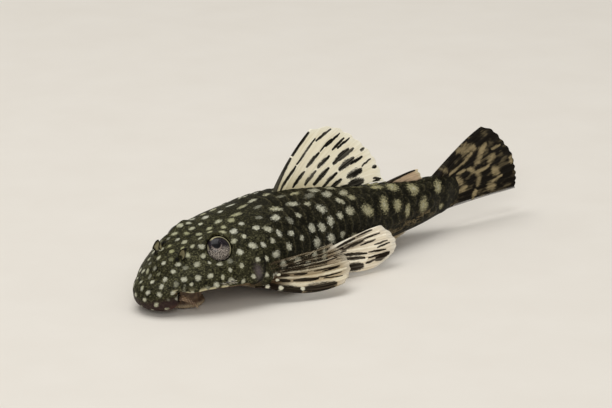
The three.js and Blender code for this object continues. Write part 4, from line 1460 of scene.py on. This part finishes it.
def fin_finish(name, solid, glow, mottle=0.0, bare=0.05):
    """Rays over a thin membrane, with light and dark strokes whose edges are ragged along the rays, and
    its own colours at the root and the margin. solid is its alpha where nothing is clear, glow stands
    for the light that comes through it, mottle is the strength of light flecks, and bare is the share
    of the rays with nothing but the root's colour."""
    f = Finish(name, Roughness=0.5, Specular_IOR_Level=0.08, Emission_Strength=glow)
    c = palette(FIN_COLOURS[name])
    ridge, along, clear = f.attribute("ridge"), f.attribute("along"), f.attribute("clear")
    grain = f.ray_noise(0.12, 0.035)
    streak = f.ray_noise(0.22, 0.5)
    blotch = f.ray_noise(1.1, 0.16)
    wobble = grain - 0.5 + (streak - 0.5) * 0.6 + (blotch - 0.5) * 0.9
    dark = f.step(f.attribute("dark") + wobble, -0.36, 0.28) * (0.9 + f.step(streak, 0.3, 0.6) * 0.1)
    light = f.step(f.attribute("light") + wobble * 1.7, -0.45, 0.8) * f.step(along, bare, bare + 0.2)
    pale = f.step(f.attribute("pale") + (grain - 0.5) * 0.8, -0.2, 0.4)
    grown = f.step(along, bare, bare + 0.36)
    base = f.blend(grown, c.root, c.membrane)
    base = f.blend(f.step(along, 0.85, 1.0), base, c.margin)
    base = f.blend(f.step(streak, 0.42, 0.68) * 0.35, base, c.root)
    base = f.blend(clear * (1 - f.step(along, 0.85, 0.95)) * 0.8, base, c.root)
    base = f.blend(f.step(ridge, 0.25, 0.9) * (grown * 0.4 + 0.1), base, c.ray)
    flecks = f.step(blotch, 0.5, 0.68) * f.step(streak, 0.35, 0.6) * mottle
    base = f.blend(flecks, base, c.light)
    strength = 0.5 + f.step(blotch, 0.4, 0.6) * 0.3 + f.step(streak, 0.36, 0.6) * 0.2
    base = f.blend(light * strength, base, c.light)
    base = f.blend(dark, base, c.dark)
    base = f.blend(pale, base, colour(*FIN_SPOT))
    seen_through = clear * (1 - f.step(ridge, 0.1, 0.8) * 0.4)
    alpha = f.held(solid - seen_through + light * 0.35 + dark * 0.7 + pale)
    segments = (along * 400).sine()
    relief = f.height(segments * ridge * 0.4 + grain * 0.6, 0.02, 0.6)
    return f.feed(Base_Color=base, Alpha=alpha, Normal=relief, Emission_Color=base)


# Eyes. A place on an eye's face is upward and ahead, from -1 to 1.
PUPIL_UP = 0.2
PUPIL_AHEAD = 0.28
PUPIL_RADIUS = 0.35
# The cream-gold arc colour of the eye is a painted highlight, and its dark edge colour is painted shade where
# it meets its socket.
EYE_COLOURS = {
    "silver_dark": (44, 35, 34), "silver": (192, 182, 170), "purple_dark": (10, 7, 9),
    "purple": (86, 74, 86), "pupil": (5, 4, 6), "pupil_rim": (160, 146, 136), "arc": (200, 192, 152),
    "edge": (14, 10, 10),
}


def eye_shape(side):
    """A ball with its poles on the eye's axis, flattened along it."""
    axis = mirrored(EYE_FACES, side)
    front = unit(np.cross([0, 0, 1.0], axis)) * side
    top = unit(np.array([0, 0, 1.0]) - axis[2] * axis)
    angle, clock = grid(np.linspace(0.01, np.pi - 0.01, 72), turns(96))
    across = np.cos(clock)[..., None] * top + np.sin(clock)[..., None] * front
    p = EYE_FLAT * np.cos(angle)[..., None] * axis + np.sin(angle)[..., None] * across
    upward = np.sin(angle) * np.cos(clock)
    ahead = np.sin(angle) * np.sin(clock)
    return closed_tube(p * EYE_RADIUS + mirrored(EYE_AT, side), upward=upward, ahead=ahead)


def eye_finish():
    """A dark purple iris, speckled silver below, round a black pupil with a pale lower rim. A thin cream-gold
    arc near the eye's rim is a painted highlight, strong at the top rear and fainter at the front, and its
    edge is painted shade."""
    f = Finish("wet_eye", Roughness=0.3, Specular_IOR_Level=0.15, Coat_Weight=0.15, Coat_Roughness=0.06)
    c = palette(EYE_COLOURS)
    up, ahead = f.attribute("upward"), f.attribute("ahead")
    fine = f.noise(0.09, 3, (1, 1, 1), 0.7)
    coarse = f.noise(0.2, 2)

    def distance(at_up, at_ahead):
        a, b = up - at_up, ahead - at_ahead
        return (a * a + b * b).square_root()

    silver = f.blend(f.step(fine, 0.46, 0.6), c.silver_dark, c.silver)
    purple = f.blend(f.step(fine, 0.5, 0.72), c.purple_dark, c.purple)
    iris = f.blend(f.step(up + (coarse - 0.5) * 0.5, -0.3, 0.15), silver, purple)
    from_pupil = distance(PUPIL_UP, PUPIL_AHEAD)
    black = f.step(from_pupil + (fine - 0.5) * 0.1, PUPIL_RADIUS, PUPIL_RADIUS - 0.07)
    shown = f.blend(black, iris, c.pupil)
    rim = f.step(from_pupil, PUPIL_RADIUS - 0.05, PUPIL_RADIUS)
    rim = rim * f.step(from_pupil, PUPIL_RADIUS + 0.1, PUPIL_RADIUS + 0.03)
    rim = rim * f.step(up, PUPIL_UP + 0.05, PUPIL_UP - 0.15) * f.step(fine, 0.35, 0.55)
    shown = f.blend(rim * 0.8, shown, c.pupil_rim)
    from_middle = distance(0, 0)
    # Painted highlight: a thin cream-gold arc near the rim, at the top rear where the top light falls, and
    # fainter at the front.
    top_rear = f.step(up - ahead, -0.1, 0.4)
    front = f.step(ahead, 0.8, 0.9) * f.step(up, -0.15, 0.05) * 0.5
    arc = f.step(from_middle, 0.8, 0.85) * f.step(from_middle, 0.96, 0.92)
    arc = arc * f.held(top_rear + front) * f.step(fine, 0.3, 0.5)
    shown = f.blend(arc, shown, c.arc)
    # Painted shade: the eye's edge is darkened where it meets its socket.
    return f.feed(Base_Color=f.blend(f.step(from_middle, 0.94, 0.98), shown, c.edge))


# Build the pieces

def put_fin(name, curves, material, word=""):
    """Adds a fin over its root, tip and bend, in place of the solid's fin of that name."""
    shape = fin_shape(name, fan(FINS[name], *curves))
    piece(f"{name}_fin_rays{word}", shape, material, [f"{name}_fin{word}"])


skin = together([skin_shape(), *(nostril_flap(side) for side in SIDES.values())])
piece("skin", skin, skin_finish(), ["head", "torso", "tail", "upper_lip"])
piece("mouth_disc", mouth_disc(), lip_finish(), ["lower_lip"])
piece("cheek_thorns", together([thorn_patch(side) for side in SIDES.values()]), thorn_finish())

pectoral_fin = fin_finish("pectoral_fin", solid=0.9, glow=0.1, bare=0.16)
pelvic_fin = fin_finish("pelvic_fin", solid=0.92, glow=0.14)
put_fin("dorsal", FANS["dorsal"], fin_finish("cream_fin", solid=0.95, glow=0.16))
put_fin("caudal", FANS["caudal"], fin_finish("tail_fin", solid=1.0, glow=0.0, mottle=0.3))
put_fin("adipose", FANS["adipose"], fin_finish("pink_fin", solid=0.95, glow=0.06))
put_fin("anal", FANS["anal"], pectoral_fin)
for word, side in SIDES.items():
    put_fin("pectoral", paired("pectoral", side), pectoral_fin, f"_{word}")
    put_fin("pelvic", paired("pelvic", side), pelvic_fin, f"_{word}")
    piece(f"barbel_feeler_{word}", barbel(side), lip_finish(), [f"barbel_{word}"])
    piece(f"eyeball_{word}", eye_shape(side), eye_finish(), [f"eye_{word}"])


# Stage, light and camera. Lamps are a place and a width in metres, and watts.
FLOOR_HALF = 3.0
FLOOR_MOTTLE = 9
FLOOR_COLOURS = {"plain": (232, 226, 216), "patch": (238, 233, 224)}
AIR_TINT = (1, 0.97, 0.92, 1)
AIR_STRENGTH = 0.36
LAMPS = {
    "top_light": ((-0.05, 0.05, 0.45), 0.35, 1.2),
    "front_light": ((-0.35, -0.4, 0.3), 0.3, 0.9),
}


def lamps():
    """Soft square lamps that face the fish."""
    for name, (at, width, watts) in LAMPS.items():
        light = bpy.data.lights.new(name, "AREA")
        light.size = width
        light.energy = watts
        aimed(added(name, light), at, -Vector(at))


def stage():
    """A pale floor under an evenly bright sky."""
    mesh = bpy.data.meshes.new("floor")
    corners = [(-1, -1, 0), (1, -1, 0), (1, 1, 0), (-1, 1, 0)]
    mesh.from_pydata([(x * FLOOR_HALF, y * FLOOR_HALF, z) for x, y, z in corners], [], [(0, 1, 2, 3)])
    f = Finish("pale_floor", Roughness=0.9)
    c = palette(FLOOR_COLOURS)
    mesh.materials.append(f.feed(Base_Color=f.blend(f.noise(FLOOR_MOTTLE), c.plain, c.patch)))
    added("floor", mesh)
    world = bpy.data.worlds.new("studio")
    world.use_nodes = True
    sky = world.node_tree.nodes["Background"]
    sky.inputs["Color"].default_value = AIR_TINT
    sky.inputs["Strength"].default_value = AIR_STRENGTH
    bpy.context.scene.world = world
    bpy.context.scene.view_settings.view_transform = "Standard"


# The camera sees the anchor, a point on the floor in millimetres, at its pixel in the frame
AZIMUTH = np.radians(-40)
ELEVATION = np.radians(18)
DISTANCE = 400.0
FOCAL_PIXELS = 3332.0
FRAME_SIZE = (612, 408)
ANCHOR = np.array([-27.9, -1, 0])
ANCHOR_PIXEL = (163, 309)
NEAR_CLIP = 0.01
FAR_CLIP = 20


def camera():
    """A camera at the azimuth, elevation and distance, moved sideways to see the anchor at its
    pixel."""
    ce, se, ca, sa = np.cos(ELEVATION), np.sin(ELEVATION), np.cos(AZIMUTH), np.sin(AZIMUTH)
    back_way = np.array([sa * ce, -ca * ce, se])
    right = np.array([ca, sa, 0])
    up = np.cross(back_way, right)
    off_right, off_down = (np.array(ANCHOR_PIXEL) - np.array(FRAME_SIZE) / 2) / FOCAL_PIXELS * DISTANCE
    at = ANCHOR + back_way * DISTANCE - right * off_right + up * off_down
    data = bpy.data.cameras.new("camera")
    data.lens = FOCAL_PIXELS * data.sensor_width / FRAME_SIZE[0]
    data.clip_start = NEAR_CLIP
    data.clip_end = FAR_CLIP
    thing = added("camera", data)
    aimed(thing, at * MM, -back_way)
    bpy.context.scene.camera = thing


stage()
lamps()
camera()
